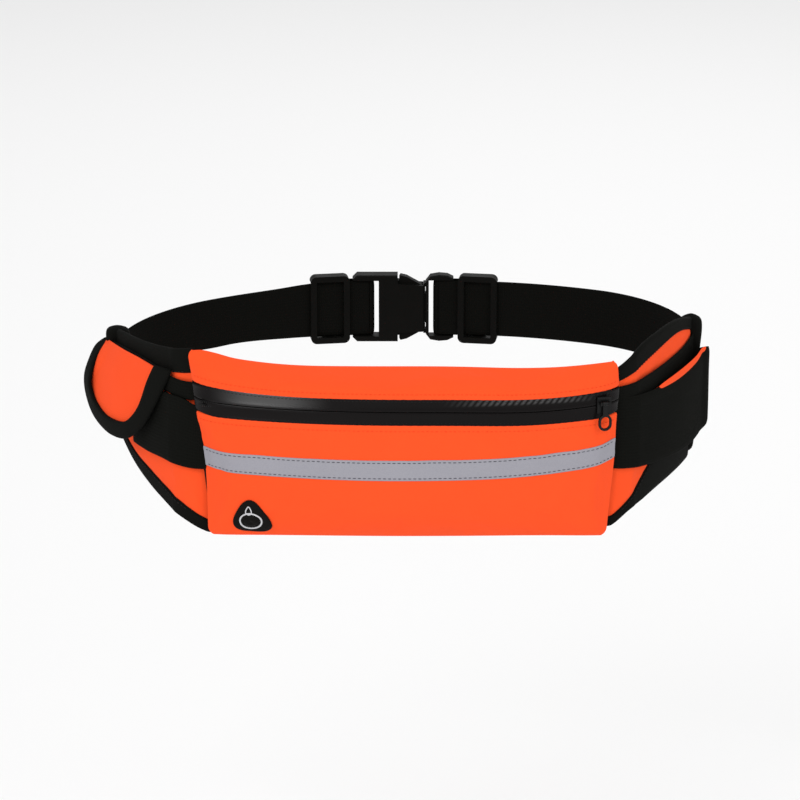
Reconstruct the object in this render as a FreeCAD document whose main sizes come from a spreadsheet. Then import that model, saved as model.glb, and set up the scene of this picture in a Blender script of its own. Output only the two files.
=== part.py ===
import FreeCAD, Part
import math
import os

import Sketcher

# Waist pack, laid out as it is worn: a loop of pouch, wings and belt.
# Origin: centre of the loop at half the webbing's width. +X to the wearer's left, +Y towards
# the back of the waist, +Z up. The pouch faces -Y.

os.makedirs("parts", exist_ok=True)
doc = FreeCAD.newDocument("waist_pack")
sheet = doc.addObject("Spreadsheet::Sheet", "Dimensions")

DIMENSIONS = [
    # pouch: a curved front, short sides and a flat back wall
    ("pouch_width", 260),
    ("pouch_top", 26),
    ("pouch_floor", -86),
    ("seam_plane", -94.6),
    ("front_radius", 500),
    ("front_apex", -120),
    ("foam", 2.5),
    ("back_wall", 2.6),
    ("panel_hole", 4),
    # zip: two tapes, two coils with a gap for the slider's post
    ("zip_middle", 1),
    ("zip_band", 16),
    ("zip_recess", 0.3),
    ("tape", 1),
    ("coil_gap", 0.8),
    ("coil_height", 1.6),
    ("coil_depth", 1.6),
    # slider and pull
    ("slider_length", 9),
    ("slider_height", 10.5),
    ("plate", 1),
    ("plate_gap", 0.25),
    ("post_width", 0.5),
    ("ear_clearance", 0.3),
    ("ear_thick", 1.2),
    ("ear_share", 0.8),
    ("ear_sunk", 0.2),
    ("slider_half_turn", 14.25),
    ("pin_radius", 0.6),
    ("pin_clearance", 0.06),
    ("pin_reach", 2.9),
    ("pin_lift", 1.5),
    ("pull_eye", 1.3),
    ("pull_width", 3.4),
    ("pull_neck", 8),
    ("pull_thick", 1.2),
    ("neck_inset", 0.2),
    ("ring_length", 10.6),
    ("ring_width", 8.4),
    ("ring_wire", 1.5),
    # reflective strip
    ("strip_low", -42),
    ("strip_high", -29),
    ("strip_thick", 0.5),
    ("strip_half_turn", 14.9),
    # earphone port
    ("port_turn", -10.9),
    ("port_middle", -71.5),
    ("port_radius", 2),
    ("port_boss", 3.4),
    ("port_length", 3.2),
    ("patch_thick", 1.4),
    ("patch_width", 25),
    ("patch_height", 23),
    ("patch_corner", 5),
    ("patch_low_share", 0.42),
    ("patch_tip", 3.2),
    ("patch_stand_off", 0.4),
    ("port_ring_long", 7.3),
    ("port_ring_short", 6.2),
    ("port_ring_line", 1.2),
    ("print_thick", 0.8),
    ("loop_lift", 1.7),
    ("loop_outer", 2.2),
    ("loop_inner", 1.2),
    # wings
    ("wing_centre_x", -208.5),
    ("wing_centre_y", 142.8),
    ("wing_radius", 415.5),
    ("wing_front", -34.85),
    ("wing_sweep", 15.4),
    ("wing_top", 23),
    ("binding", 11),
    ("binding_thick", 4.5),
    ("wing_low_front", -80),
    ("wing_low_back", -66),
    ("hem", 6),
    ("wing_front_y", -100),
    ("wing_back_y", 0),
    # elastic bands
    ("elastic", 1.4),
    ("band_half", 6),
    ("band_stand_off", 1.5),
    ("wide_band_top_front", -8),
    ("wide_band_top_back", 5),
    ("wide_band_low_front", -44),
    ("wide_band_low_back", -56),
    ("wide_band_centre_x", -104.3),
    ("wide_band_centre_y", 116.3),
    ("wide_band_radius", 319.5),
    ("wide_band_inset", 4),
    ("left_band_end", -85),
    # end tabs
    ("tab_inner", 176),
    ("tab_outer", 194),
    ("tab_depth", 13),
    ("tab_low", -62),
    ("tab_round", 6),
    # pocket on the left wing
    ("pocket_centre_x", -5.5),
    ("pocket_centre_y", 74.7),
    ("pocket_radius", 211),
    ("pocket_wall", 2.4),
    ("pocket_middle_y", -38),
    ("pocket_middle_z", 3),
    ("pocket_size", 46),
    ("pocket_hem", 9),
    ("pocket_hem_rise", 1.8),
    ("pocket_depth", 14),
    ("pocket_top", 15),
    ("pocket_clearance", 0.3),
    # belt
    ("webbing", 38),
    ("webbing_thick", 1.4),
    ("belt_centre_y", -247),
    ("belt_radius", 343.35),
    ("hip_radius", 90),
    ("hip_turn", 68.4),
    ("belt_start", 11),
    ("bar_turn", 86.2),
    ("layer_step", 5.65),
    ("sewn_clearance", 0.15),
    ("sewn_turn", 0.9),
    # adjusters
    ("adjuster_x", 49),
    ("adjuster_width", 26),
    ("adjuster_height", 46.5),
    ("adjuster_bar", 4),
    ("adjuster_inner", -3.2),
    ("adjuster_outer", 4.35),
    ("adjuster_bar_face", -1.2),
    ("adjuster_middle_bar", 3),
    ("adjuster_middle_face", 2.35),
    ("adjuster_round", 4),
    # buckle
    ("buckle_y", 98),
    ("buckle_half", 23),
    ("buckle_thick", 10),
    ("socket_end", -34),
    ("socket_mouth", 13),
    ("socket_shoulder", -4),
    ("socket_neck", 17),
    ("bar_start", 22.5),
    ("bar_end", 31),
    ("bar_thick", 3),
    ("slot_start", 16.6),
    ("slot_half", 19.3),
    ("cavity_end", -14),
    ("cavity_half", 19.5),
    ("cavity_thick", 6),
    ("socket_chamfer", 3),
    ("relief_overlap", 0.5),
    ("plug_start", 14.6),
    ("plug_end", 33),
    ("plug_thick", 8),
    ("tongue_half", 3),
    ("tongue_end", -8),
    ("prong_thick", 5.2),
    ("prong_root_x", 12),
    ("prong_root_z", 12.5),
    ("prong_root", 2.3),
    ("prong_clearance", 0.5),
    ("prong_step", 0.95),
    ("prong_taper", 1.5),
    ("mould_round", 1),
]

for row, (name, size) in enumerate(DIMENSIONS, start=1):
    sheet.set(f"A{row}", name)
    sheet.set(f"B{row}", str(size))
    sheet.setAlias(f"B{row}", name)
doc.recompute()


def formula(text):
    """Write a formula of plain aliases as one that reads the sheet."""
    words = []
    word = ""
    for letter in f"{text} ":
        if letter.isalnum() or letter == "_":
            word += letter
            continue
        known = any(word == name for name, _ in DIMENSIONS)
        words.append(f"Dimensions.{word}" if known else word)
        words.append(letter)
        word = ""
    return "".join(words).strip()


def value(text):
    """The number that a formula gives now."""
    return float(sheet.evalExpression(formula(text)))


def bind(thing, **formulas):
    """Bind properties to the sheet. Two underscores stand for a full stop."""
    for name, text in formulas.items():
        thing.setExpression(name.replace("__", "."), formula(text))


def place(thing, x="0", y="0", z="0", turn=None):
    """Bind a thing's position and its turn about Z, in degrees."""
    bind(thing, Placement__Base__x=x, Placement__Base__y=y, Placement__Base__z=z)
    if turn is not None:
        thing.Placement.Rotation = FreeCAD.Rotation(FreeCAD.Vector(0, 0, 1), value(turn))
        bind(thing, Placement__Rotation__Angle=turn)


# ---- solids made from primitives -------------------------------------------------------------


def cylinder(name, x, y, radius, low, high, start=None, sweep="360"):
    thing = doc.addObject("Part::Cylinder", name)
    bind(thing, Radius=radius, Height=f"{high} - ({low})", Angle=sweep)
    place(thing, x, y, low, start)
    return thing


def boolean(kind, name, base, tool):
    thing = doc.addObject(f"Part::{kind}", name)
    thing.Base = base
    thing.Tool = tool
    return thing


def fused(name, pieces):
    thing = doc.addObject("Part::MultiFuse", name)
    thing.Shapes = pieces
    thing.Refine = True
    return thing


def sector(name, x, y, radius, thickness, low, high, start, sweep):
    """A slice of an upright ring; radius is the middle of its thickness."""
    half = f"({thickness}) / 2"
    outer = cylinder(f"{name}_outer", x, y, f"{radius} + {half}", low, high, start, sweep)
    inner = cylinder(f"{name}_inner", x, y, f"{radius} - {half}", f"{low} - 1", f"{high} + 1")
    return boolean("Cut", name, outer, inner)


def outline_sketch(sketch, corners):
    """Draw a closed outline whose corners are pairs of formulas."""
    points = [FreeCAD.Vector(value(across), value(up), 0) for across, up in corners]
    count = len(points)
    for index in range(count):
        line = Part.LineSegment(points[index], points[(index + 1) % count])
        sketch.addGeometry(line, False)
    for index in range(count):
        following = (index + 1) % count
        sketch.addConstraint(Sketcher.Constraint("Coincident", index, 2, following, 1))
    for index, (across, up) in enumerate(corners):
        for kind, text, number in (
            ("DistanceX", across, points[index].x),
            ("DistanceY", up, points[index].y),
        ):
            label = f"{kind}_{index}"
            row = sketch.addConstraint(Sketcher.Constraint(kind, -1, 1, index, 1, number))
            sketch.renameConstraint(row, label)
            sketch.setExpression(f"Constraints.{label}", formula(text))
    return sketch


TURNS = {
    "XY": FreeCAD.Rotation(0, 0, 0),
    "XZ": FreeCAD.Rotation(0, 0, 90),
    "YZ": FreeCAD.Rotation(90, 0, 90),
}


def prism(name, plane, corners, low, high):
    """An outline on a plane, drawn out from low to high along the axis that the plane lacks."""
    sketch = doc.addObject("Sketcher::SketchObject", f"{name}_outline")
    sketch.Placement.Rotation = TURNS[plane]
    outline_sketch(sketch, corners)
    missing = {"XY": "z", "XZ": "y", "YZ": "x"}[plane]
    bind(sketch, **{f"Placement__Base__{missing}": low})
    thing = doc.addObject("Part::Extrusion", name)
    thing.Base = sketch
    thing.DirMode = "Custom"
    thing.Dir = FreeCAD.Vector(*[1 if axis == missing else 0 for axis in "xyz"])
    thing.Solid = True
    bind(thing, LengthFwd=f"{high} - ({low})")
    return thing


def rectangle(left, right, low, high):
    return [(left, low), (right, low), (right, high), (left, high)]


# ---- solids made as PartDesign bodies ---------------------------------------------------------


def body(name):
    return doc.addObject("PartDesign::Body", name)


def sketch_on(owner, plane, name, offset="0"):
    """A sketch on one of the body's own planes, lifted off it by offset."""
    sketch = owner.newObject("Sketcher::SketchObject", name)
    origin_plane = next(f for f in owner.Origin.OriginFeatures if f.Role == f"{plane}_Plane")
    sketch.AttachmentSupport = [(origin_plane, "")]
    sketch.MapMode = "FlatFace"
    bind(sketch, AttachmentOffset__Base__z=offset)
    return sketch


def circles(sketch, items):
    """Circles as (across, up, radius) formulas."""
    for index, (across, up, radius) in enumerate(items):
        middle = FreeCAD.Vector(value(across), value(up), 0)
        sketch.addGeometry(Part.Circle(middle, FreeCAD.Vector(0, 0, 1), value(radius)), False)
        for kind, text, number in (
            ("DistanceX", across, middle.x),
            ("DistanceY", up, middle.y),
        ):
            label = f"{kind}_{index}"
            row = sketch.addConstraint(Sketcher.Constraint(kind, -1, 1, index, 3, number))
            sketch.renameConstraint(row, label)
            sketch.setExpression(f"Constraints.{label}", formula(text))
        row = sketch.addConstraint(Sketcher.Constraint("Radius", index, value(radius)))
        sketch.renameConstraint(row, f"Radius_{index}")
        sketch.setExpression(f"Constraints.Radius_{index}", formula(radius))
    return sketch


def pad(owner, sketch, length, both_ways=True):
    feature = owner.newObject("PartDesign::Pad", f"{sketch.Name}_pad")
    feature.Profile = sketch
    feature.SideType = "Symmetric" if both_ways else "One side"
    bind(feature, Length=length)
    return feature


def pocket(owner, sketch, length):
    """Cut a pocket that reaches half its length each way from the sketch."""
    feature = owner.newObject("PartDesign::Pocket", f"{sketch.Name}_pocket")
    feature.Profile = sketch
    feature.SideType = "Symmetric"
    bind(feature, Length=length)
    return feature


def rounded(owner, radius, chosen):
    """Fillet the edges of the body's tip that the test picks."""
    doc.recompute()
    tip = owner.Tip
    names = [f"Edge{i}" for i, edge in enumerate(tip.Shape.Edges, start=1) if chosen(edge)]
    feature = owner.newObject("PartDesign::Fillet", f"{owner.Name}_round")
    feature.Base = (tip, names)
    bind(feature, Radius=radius)
    doc.recompute()
    return feature


def runs_along(edge, axis):
    """True for a straight edge along the named axis."""
    if edge.Curve.TypeId != "Part::GeomLine":
        return False
    return abs(abs(getattr(edge.tangentAt(edge.FirstParameter), axis)) - 1) < 1e-6


# ---- the sub-parts ------------------------------------------------------------------------------

parts = {}


def keep(label, thing):
    """Name a finished sub-part."""
    thing.Label = label
    parts[label] = thing
    return thing


def mirrored(label, source):
    """The same piece on the other side of the loop."""
    thing = doc.addObject("Part::Mirroring", f"{label}_mirror")
    thing.Source = source
    thing.Normal = FreeCAD.Vector(1, 0, 0)
    thing.Base = FreeCAD.Vector(0, 0, 0)
    return keep(label, thing)


FRONT_CENTRE = "front_apex + front_radius"
HALF_WIDTH = "pouch_width / 2"
ZIP_LOW = "zip_middle - zip_band / 2"
ZIP_HIGH = "zip_middle + zip_band / 2"


def pouch_shell(name, low, high, floor_low, floor_high):
    """Curved wall and short sides between low and high, hollow but for a floor or a roof."""
    outline = rectangle(f"-({HALF_WIDTH})", HALF_WIDTH, low, high)
    block = prism(f"{name}_block", "XZ", outline, "front_apex - 1", "seam_plane")
    outer = cylinder(f"{name}_front", "0", FRONT_CENTRE, "front_radius", low, high)
    solid = boolean("Common", f"{name}_solid", block, outer)
    inside = rectangle(f"foam - {HALF_WIDTH}", f"{HALF_WIDTH} - foam", floor_low, floor_high)
    hollow = prism(f"{name}_room", "XZ", inside, "front_apex - 1", "seam_plane + 1")
    inner = cylinder(f"{name}_back", "0", FRONT_CENTRE, "front_radius - foam", floor_low, floor_high)
    room = boolean("Common", f"{name}_hollow", hollow, inner)
    return boolean("Cut", name, solid, room)


def front_piece(name, radius, thickness, low, high, half_turn):
    """A strip that follows the pouch's front, as wide as its half turn each way."""
    start = f"270 - ({half_turn})"
    return sector(name, "0", FRONT_CENTRE, radius, thickness, low, high, start, f"2 * ({half_turn})")


def make_pouch():
    lower = pouch_shell("lower_panel", "pouch_floor", ZIP_LOW, "pouch_floor + foam", f"{ZIP_LOW} + 1")
    hole = doc.addObject("Part::Cylinder", "cable_hole")
    bind(hole, Radius="panel_hole", Height="6 * foam")
    hole.Placement.Rotation = FreeCAD.Rotation(FreeCAD.Vector(1, 0, 0), 90)
    bind(
        hole,
        Placement__Base__x="front_radius * sin(port_turn * 1 deg)",
        Placement__Base__y=f"{FRONT_CENTRE} - (front_radius - 3 * foam) * cos(port_turn * 1 deg)",
        Placement__Base__z="port_middle",
    )
    keep("pouch_front_lower", boolean("Cut", "lower_with_hole", lower, hole))
    keep(
        "pouch_front_upper",
        pouch_shell("upper_panel", ZIP_HIGH, "pouch_top", f"{ZIP_HIGH} - 1", "pouch_top - foam"),
    )
    outline = rectangle(f"-({HALF_WIDTH})", HALF_WIDTH, "pouch_floor", "pouch_top")
    keep(
        "pouch_back_wall",
        prism("back_wall", "XZ", outline, "seam_plane", "seam_plane + back_wall"),
    )
    strip_radius = "front_radius + strip_thick / 2"
    keep(
        "reflective_strip",
        front_piece("strip", strip_radius, "strip_thick", "strip_low", "strip_high", "strip_half_turn"),
    )


def make_zip():
    tape_radius = "front_radius - zip_recess - tape / 2"
    coil_low = "zip_middle - coil_gap / 2 - coil_height"
    coil_high = "zip_middle + coil_gap / 2 + coil_height"
    half_turn = "strip_half_turn - 0.1"
    for side, low, high in (("lower", ZIP_LOW, coil_low), ("upper", coil_high, ZIP_HIGH)):
        name = f"zipper_tape_{side}"
        keep(name, front_piece(f"{name}_strip", tape_radius, "tape", low, high, half_turn))
    coil_radius = "front_radius - zip_recess - coil_depth / 2"
    for side, low, high in (
        ("lower", coil_low, f"{coil_low} + coil_height"),
        ("upper", f"{coil_high} - coil_height", coil_high),
    ):
        name = f"zipper_coil_{side}"
        keep(name, front_piece(f"{name}_bead", coil_radius, "coil_depth", low, high, half_turn))


def on_front(thing, turn, reach, height):
    """Stand a piece on the pouch's front: its own -Y points out of the fabric."""
    place(
        thing,
        f"({reach}) * sin(({turn}) * 1 deg)",
        f"{FRONT_CENTRE} - ({reach}) * cos(({turn}) * 1 deg)",
        height,
        turn,
    )


def make_slider():
    """Front plate, back plate, the post between them and the pin that the pull hangs on."""
    slider = body("slider")
    face = "plate_gap - zip_recess + plate"
    back = "plate_gap + zip_recess + coil_depth + plate"
    across = "slider_length / 2"
    up = "slider_height / 2"
    block = sketch_on(slider, "XZ", "slider_block", f"({face} - ({back})) / 2")
    outline_sketch(block, rectangle(f"-{across}", across, f"-{up}", up))
    pad(slider, block, f"{face} + {back}")
    groove = "post_width / 2"
    for side, near, far in (("lower", f"-{up} - 1", f"-{groove}"), ("upper", groove, f"{up} + 1")):
        room = sketch_on(slider, "YZ", f"slider_room_{side}")
        edges = rectangle(f"plate - ({face})", f"{back} - plate", near, far)
        outline_sketch(room, edges)
        pocket(slider, room, "slider_length + 2")
    for side in (-1, 1):
        offset = f"{side} * ((pull_width + ear_thick) / 2 + ear_clearance)"
        ear = sketch_on(slider, "YZ", f"slider_ear_{'near' if side < 0 else 'far'}", offset)
        reach = "-(pin_reach + pull_eye * ear_share)"
        low = "pin_lift - pull_eye * ear_share"
        high = "pin_lift + pull_eye * ear_share"
        outline_sketch(ear, rectangle(reach, "ear_sunk - plate", low, high))
        pad(slider, ear, "ear_thick")
    pin = sketch_on(slider, "YZ", "slider_pin")
    circles(pin, [("-pin_reach", "pin_lift", "pin_radius")])
    pad(slider, pin, "pull_width + 2")
    on_front(slider, "slider_half_turn", "front_radius", "zip_middle")
    keep("zip_slider", slider)


def make_pull():
    """An eye on the slider's pin, a short neck and an oval ring."""
    pull = body("pull")
    eye = sketch_on(pull, "YZ", "pull_eye_round")
    circles(eye, [("0", "0", "pull_eye")])
    pad(pull, eye, "pull_width")
    neck = sketch_on(pull, "XZ", "pull_neck_flat")
    half = "pull_width / 2 - neck_inset"
    outline_sketch(neck, rectangle(f"-({half})", half, "-pull_neck", "-pull_eye / 2"))
    pad(pull, neck, "pull_thick")
    ring = sketch_on(pull, "XZ", "pull_ring_oval")
    middle = "-(pull_neck + ring_length / 2 - 1)"
    straight = "(ring_length - ring_width) / 2"
    for grow in ("0", "ring_wire"):
        radius = value(f"ring_width / 2 - {grow}")
        centre = value(middle)
        shift = value(straight)
        top = FreeCAD.Vector(0, centre + shift, 0)
        bottom = FreeCAD.Vector(0, centre - shift, 0)
        upright = FreeCAD.Vector(0, 0, 1)
        first = ring.GeometryCount
        for centre_point, from_angle in ((top, 0), (bottom, math.pi)):
            circle = Part.Circle(centre_point, upright, radius)
            ring.addGeometry(Part.ArcOfCircle(circle, from_angle, from_angle + math.pi), False)
        for side, one, other in ((-1, 2, 1), (1, 1, 2)):
            start = FreeCAD.Vector(side * radius, centre + shift, 0)
            end = FreeCAD.Vector(side * radius, centre - shift, 0)
            line = ring.addGeometry(Part.LineSegment(start, end), False)
            ring.addConstraint(Sketcher.Constraint("Tangent", first, one, line, 1))
            ring.addConstraint(Sketcher.Constraint("Tangent", first + 1, other, line, 2))
        for index, sign in ((first, "+"), (first + 1, "-")):
            height = f"{middle} {sign} {straight}"
            ring.addConstraint(Sketcher.Constraint("PointOnObject", index, 3, -2))
            level = Sketcher.Constraint("DistanceY", -1, 1, index, 3, value(height))
            row = ring.addConstraint(level)
            ring.renameConstraint(row, f"height_{index}")
            ring.setExpression(f"Constraints.height_{index}", formula(height))
        row = ring.addConstraint(Sketcher.Constraint("Radius", first, radius))
        ring.renameConstraint(row, f"radius_{first}")
        ring.setExpression(f"Constraints.radius_{first}", formula(f"ring_width / 2 - {grow}"))
    pad(pull, ring, "pull_thick")
    bore = sketch_on(pull, "YZ", "pull_bore")
    circles(bore, [("0", "0", "pin_radius + pin_clearance")])
    pocket(pull, bore, "pull_width + 1")
    on_front(pull, "slider_half_turn", "front_radius + pin_reach", "zip_middle + pin_lift")
    keep("zip_pull", pull)


def make_port():
    """Rubber patch with a boss and a cable hole, and the silver ring round the boss."""
    patch = body("patch")
    plate = sketch_on(patch, "XZ", "patch_plate", "patch_thick / 2")
    half = "patch_width / 2"
    low = "-patch_height * patch_low_share"
    high = "patch_height * (1 - patch_low_share)"
    outline_sketch(plate, [(f"-({half})", low), (half, low), ("patch_tip", high), ("-patch_tip", high)])
    pad(patch, plate, "patch_thick")
    rounded(patch, "patch_corner / 2", lambda edge: runs_along(edge, "y"))
    boss = sketch_on(patch, "XZ", "patch_boss", "port_length / 2")
    circles(boss, [("0", "0", "port_boss")])
    pad(patch, boss, "port_length")
    bore = sketch_on(patch, "XZ", "patch_bore")
    circles(bore, [("0", "0", "port_radius")])
    pocket(patch, bore, "4 * port_length")
    on_front(patch, "port_turn", "front_radius + patch_stand_off", "port_middle")
    keep("earphone_patch", patch)

    ring = body("port_ring")
    flat = sketch_on(ring, "XZ", "port_ring_flat")
    for shrink in ("0", "port_ring_line"):
        long_half = value(f"port_ring_long - {shrink}")
        short_half = value(f"port_ring_short - {shrink}")
        oval = Part.Ellipse(
            FreeCAD.Vector(long_half, 0, 0),
            FreeCAD.Vector(0, short_half, 0),
            FreeCAD.Vector(0, 0, 0),
        )
        flat.addGeometry(oval, False)
    pad(ring, flat, "print_thick")
    loop = sketch_on(ring, "XZ", "port_ring_loop")
    centre = "port_ring_short + loop_lift"
    circles(loop, [("0", centre, "loop_outer"), ("0", centre, "loop_inner")])
    pad(ring, loop, "print_thick")
    reach = "front_radius + patch_stand_off + patch_thick + print_thick / 2"
    on_front(ring, "port_turn", reach, "port_middle")
    keep("earphone_ring", ring)


def wing_piece(name, stand_off, thickness, outline):
    """A strip of the wing's curve, trimmed by an outline seen from the side."""
    radius = f"wing_radius + {stand_off}"
    ring = sector(
        f"{name}_ring", "wing_centre_x", "wing_centre_y", radius, thickness,
        "pouch_floor", "pouch_top", "wing_front", "wing_sweep",
    )
    trim = prism(f"{name}_trim", "YZ", outline, HALF_WIDTH, "tab_outer + 10")
    return boolean("Common", name, ring, trim)


def slanted(low_front, low_back, high_front, high_back, back_y="wing_back_y"):
    """An outline whose lower and upper edges slope evenly along the wing."""
    share = f"(({back_y}) - wing_front_y) / (wing_back_y - wing_front_y)"
    low_end = f"({low_front}) + (({low_back}) - ({low_front})) * {share}"
    high_end = f"({high_front}) + (({high_back}) - ({high_front})) * {share}"
    front = "wing_front_y"
    return [(front, low_front), (back_y, low_end), (back_y, high_end), (front, high_front)]


def make_wings():
    edge = "wing_top - binding"
    panel = wing_piece(
        "wing", "0", "foam",
        slanted("wing_low_front + hem", "wing_low_back + hem", edge, edge),
    )
    top = wing_piece(
        "wing_top_strip", "0", "binding_thick",
        slanted(edge, edge, "wing_top", "wing_top"),
    )
    bottom = wing_piece(
        "wing_bottom_strip", "0", "binding_thick",
        slanted("wing_low_front", "wing_low_back", "wing_low_front + hem", "wing_low_back + hem"),
    )
    narrow = wing_piece(
        "narrow_band", "band_stand_off + elastic / 2", "elastic",
        slanted("-band_half", "-band_half", "band_half", "band_half"),
    )
    pieces = (
        ("wing_panel", panel),
        ("wing_top_binding", top),
        ("wing_bottom_binding", bottom),
        ("side_band_upper", narrow),
    )
    for label, piece in pieces:
        keep(f"{label}_right", piece)
        mirrored(f"{label}_left", piece)

    for side, back_y in (("right", "wing_back_y"), ("left", "left_band_end")):
        ring = sector(
            f"wide_band_{side}_ring", "wide_band_centre_x", "wide_band_centre_y", "wide_band_radius",
            "elastic", "pouch_floor", "pouch_top", "-60", "60",
        )
        outline = slanted(
            "wide_band_low_front", "wide_band_low_back",
            "wide_band_top_front", "wide_band_top_back", back_y,
        )
        start = "wing_front_y + wide_band_inset"
        outline = [(start if y == "wing_front_y" else y, z) for y, z in outline]
        trim = prism(f"wide_band_{side}_trim", "YZ", outline, HALF_WIDTH, "tab_outer + 10")
        band = boolean("Common", f"wide_band_{side}", ring, trim)
        if side == "right":
            keep("side_band_lower_right", band)
        else:
            mirrored("side_band_lower_left", band)

    plan = rectangle("tab_inner", "tab_outer", "wing_back_y", "tab_depth")
    block = prism("end_tab_block", "XY", plan, "tab_low", "wing_top")
    doc.recompute()
    tab = doc.addObject("Part::Fillet", "end_tab")
    tab.Base = block
    back = [
        (i, value("tab_round"), value("tab_round"))
        for i, corner in enumerate(block.Shape.Edges, start=1)
        if runs_along(corner, "z") and corner.BoundBox.YMin > value("tab_depth") - 1
    ]
    tab.Edges = back
    keep("wing_end_tab_right", tab)
    mirrored("wing_end_tab_left", tab)


def make_pocket():
    """Pocket on the left wing: a curved front and a thick binding, both round seen from the side."""
    low = "pocket_middle_z - pocket_size - 1"

    def layer(name, radius, thickness):
        centre = ("pocket_centre_x", "pocket_centre_y")
        return sector(name, *centre, radius, thickness, low, "pocket_top", "180", "60")

    def disc(name, radius):
        thing = doc.addObject("Part::Cylinder", name)
        thing.Placement.Rotation = FreeCAD.Rotation(FreeCAD.Vector(0, 1, 0), -90)
        bind(thing, Radius=radius, Height="2 * tab_outer")
        place(thing, y="pocket_middle_y", z="pocket_middle_z")
        return thing

    wall = layer("pocket_front_layer", "pocket_radius", "pocket_wall")
    inside = disc("pocket_front_disc", "pocket_size - pocket_hem")
    keep("gel_pocket", boolean("Common", "pocket_front", wall, inside))

    outer = "pocket_radius + pocket_hem_rise"
    block = layer("pocket_hem_layer", f"{outer} - pocket_depth / 2", "pocket_depth")
    rim = disc("pocket_hem_disc", "pocket_size")
    round_block = boolean("Common", "pocket_hem_block", block, rim)
    hole = disc("pocket_hem_hole", "pocket_size - pocket_hem")
    ring = boolean("Cut", "pocket_hem_ring", round_block, hole)
    wing_face = "wing_radius + band_stand_off + elastic + pocket_clearance"
    wing_room = cylinder("pocket_wing_room", "-wing_centre_x", "wing_centre_y", wing_face, low, "pocket_top")
    off_wing = boolean("Cut", "pocket_hem_off_wing", ring, wing_room)
    tab_plan = rectangle(
        "-tab_outer - pocket_clearance", "-tab_inner + 1",
        "wing_back_y - pocket_clearance", "tab_depth + 1",
    )
    tab_room = prism("pocket_tab_room", "XY", tab_plan, low, "pocket_top")
    keep("gel_pocket_binding", boolean("Cut", "pocket_hem_strip", off_wing, tab_room))


def make_belt():
    half = "webbing / 2"
    hip_x = "(belt_radius - hip_radius) * cos(hip_turn * 1 deg)"
    hip_y = "belt_centre_y + (belt_radius - hip_radius) * sin(hip_turn * 1 deg)"
    back = sector(
        "belt_back", "0", "belt_centre_y", "belt_radius", "webbing_thick",
        f"-{half}", half, "hip_turn", "bar_turn - hip_turn",
    )
    hip = sector(
        "belt_hip", hip_x, hip_y, "hip_radius", "webbing_thick",
        f"-{half}", half, "belt_start", "hip_turn - belt_start",
    )
    strap = keep("strap_right", fused("belt_strap", [back, hip]))
    mirrored("strap_left", strap)

    # The webbing turns round the buckle's bar, runs back outside the strap and is sewn round
    # the adjuster's middle bar.
    adjuster_turn = "acos(adjuster_x / belt_radius) / 1 deg"
    far_turn = f"{adjuster_turn} - asin(adjuster_middle_bar / belt_radius) / 1 deg"
    fold_radius = "layer_step / 2"
    fold_reach = "belt_radius + layer_step / 2"
    fold = sector(
        "bar_fold",
        f"({fold_reach}) * cos(bar_turn * 1 deg)",
        f"belt_centre_y + ({fold_reach}) * sin(bar_turn * 1 deg)",
        fold_radius, "webbing_thick", f"-{half}", half, "bar_turn", "180",
    )
    layer = sector(
        "outer_layer", "0", "belt_centre_y", "belt_radius + layer_step", "webbing_thick",
        f"-{half}", half, far_turn, f"bar_turn - ({far_turn})",
    )
    return_gap = "webbing_thick + sewn_clearance"
    sewn_reach = f"belt_radius + (layer_step + {return_gap}) / 2"
    sewn_fold = sector(
        "sewn_fold",
        f"({sewn_reach}) * cos(({far_turn}) * 1 deg)",
        f"belt_centre_y + ({sewn_reach}) * sin(({far_turn}) * 1 deg)",
        f"(layer_step - ({return_gap})) / 2", "webbing_thick", f"-{half}", half,
        f"{far_turn} - 180", "180",
    )
    sewn_end = sector(
        "sewn_end", "0", "belt_centre_y", f"belt_radius + {return_gap}", "webbing_thick",
        f"-{half}", half, far_turn, "sewn_turn",
    )
    turned = keep("strap_turn_right", fused("belt_turn", [fold, layer, sewn_fold, sewn_end]))
    mirrored("strap_turn_left", turned)


def make_adjusters():
    """Frame with two end bars inside the strap and a middle bar outside it."""
    frame = body("adjuster")
    half = "adjuster_width / 2"
    block = sketch_on(frame, "XY", "adjuster_block")
    outline_sketch(block, rectangle(f"-{half}", half, "adjuster_inner", "adjuster_outer"))
    pad(frame, block, "adjuster_height")
    rounded(frame, "adjuster_round", lambda edge: runs_along(edge, "y"))
    room = sketch_on(frame, "XY", "adjuster_room")
    slot = f"{half} - adjuster_bar"
    corners = [
        (f"-{half} - 1", "adjuster_outer + 1"),
        (f"-{half} - 1", "adjuster_bar_face"),
        (f"-({slot})", "adjuster_bar_face"),
        (f"-({slot})", "adjuster_inner - 1"),
        (slot, "adjuster_inner - 1"),
        (slot, "adjuster_bar_face"),
        (f"{half} + 1", "adjuster_bar_face"),
        (f"{half} + 1", "adjuster_outer + 1"),
        ("adjuster_middle_bar", "adjuster_outer + 1"),
        ("adjuster_middle_bar", "adjuster_middle_face"),
        ("-adjuster_middle_bar", "adjuster_middle_face"),
        ("-adjuster_middle_bar", "adjuster_outer + 1"),
    ]
    outline_sketch(room, corners)
    pocket(frame, room, "2 * slot_half")
    turn = "acos(adjuster_x / belt_radius) / 1 deg - 90"
    place(
        frame,
        "adjuster_x",
        "belt_centre_y + belt_radius * sin(acos(adjuster_x / belt_radius))",
        "0",
        turn,
    )
    keep("adjuster_right", frame)
    mirrored("adjuster_left", frame)


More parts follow.
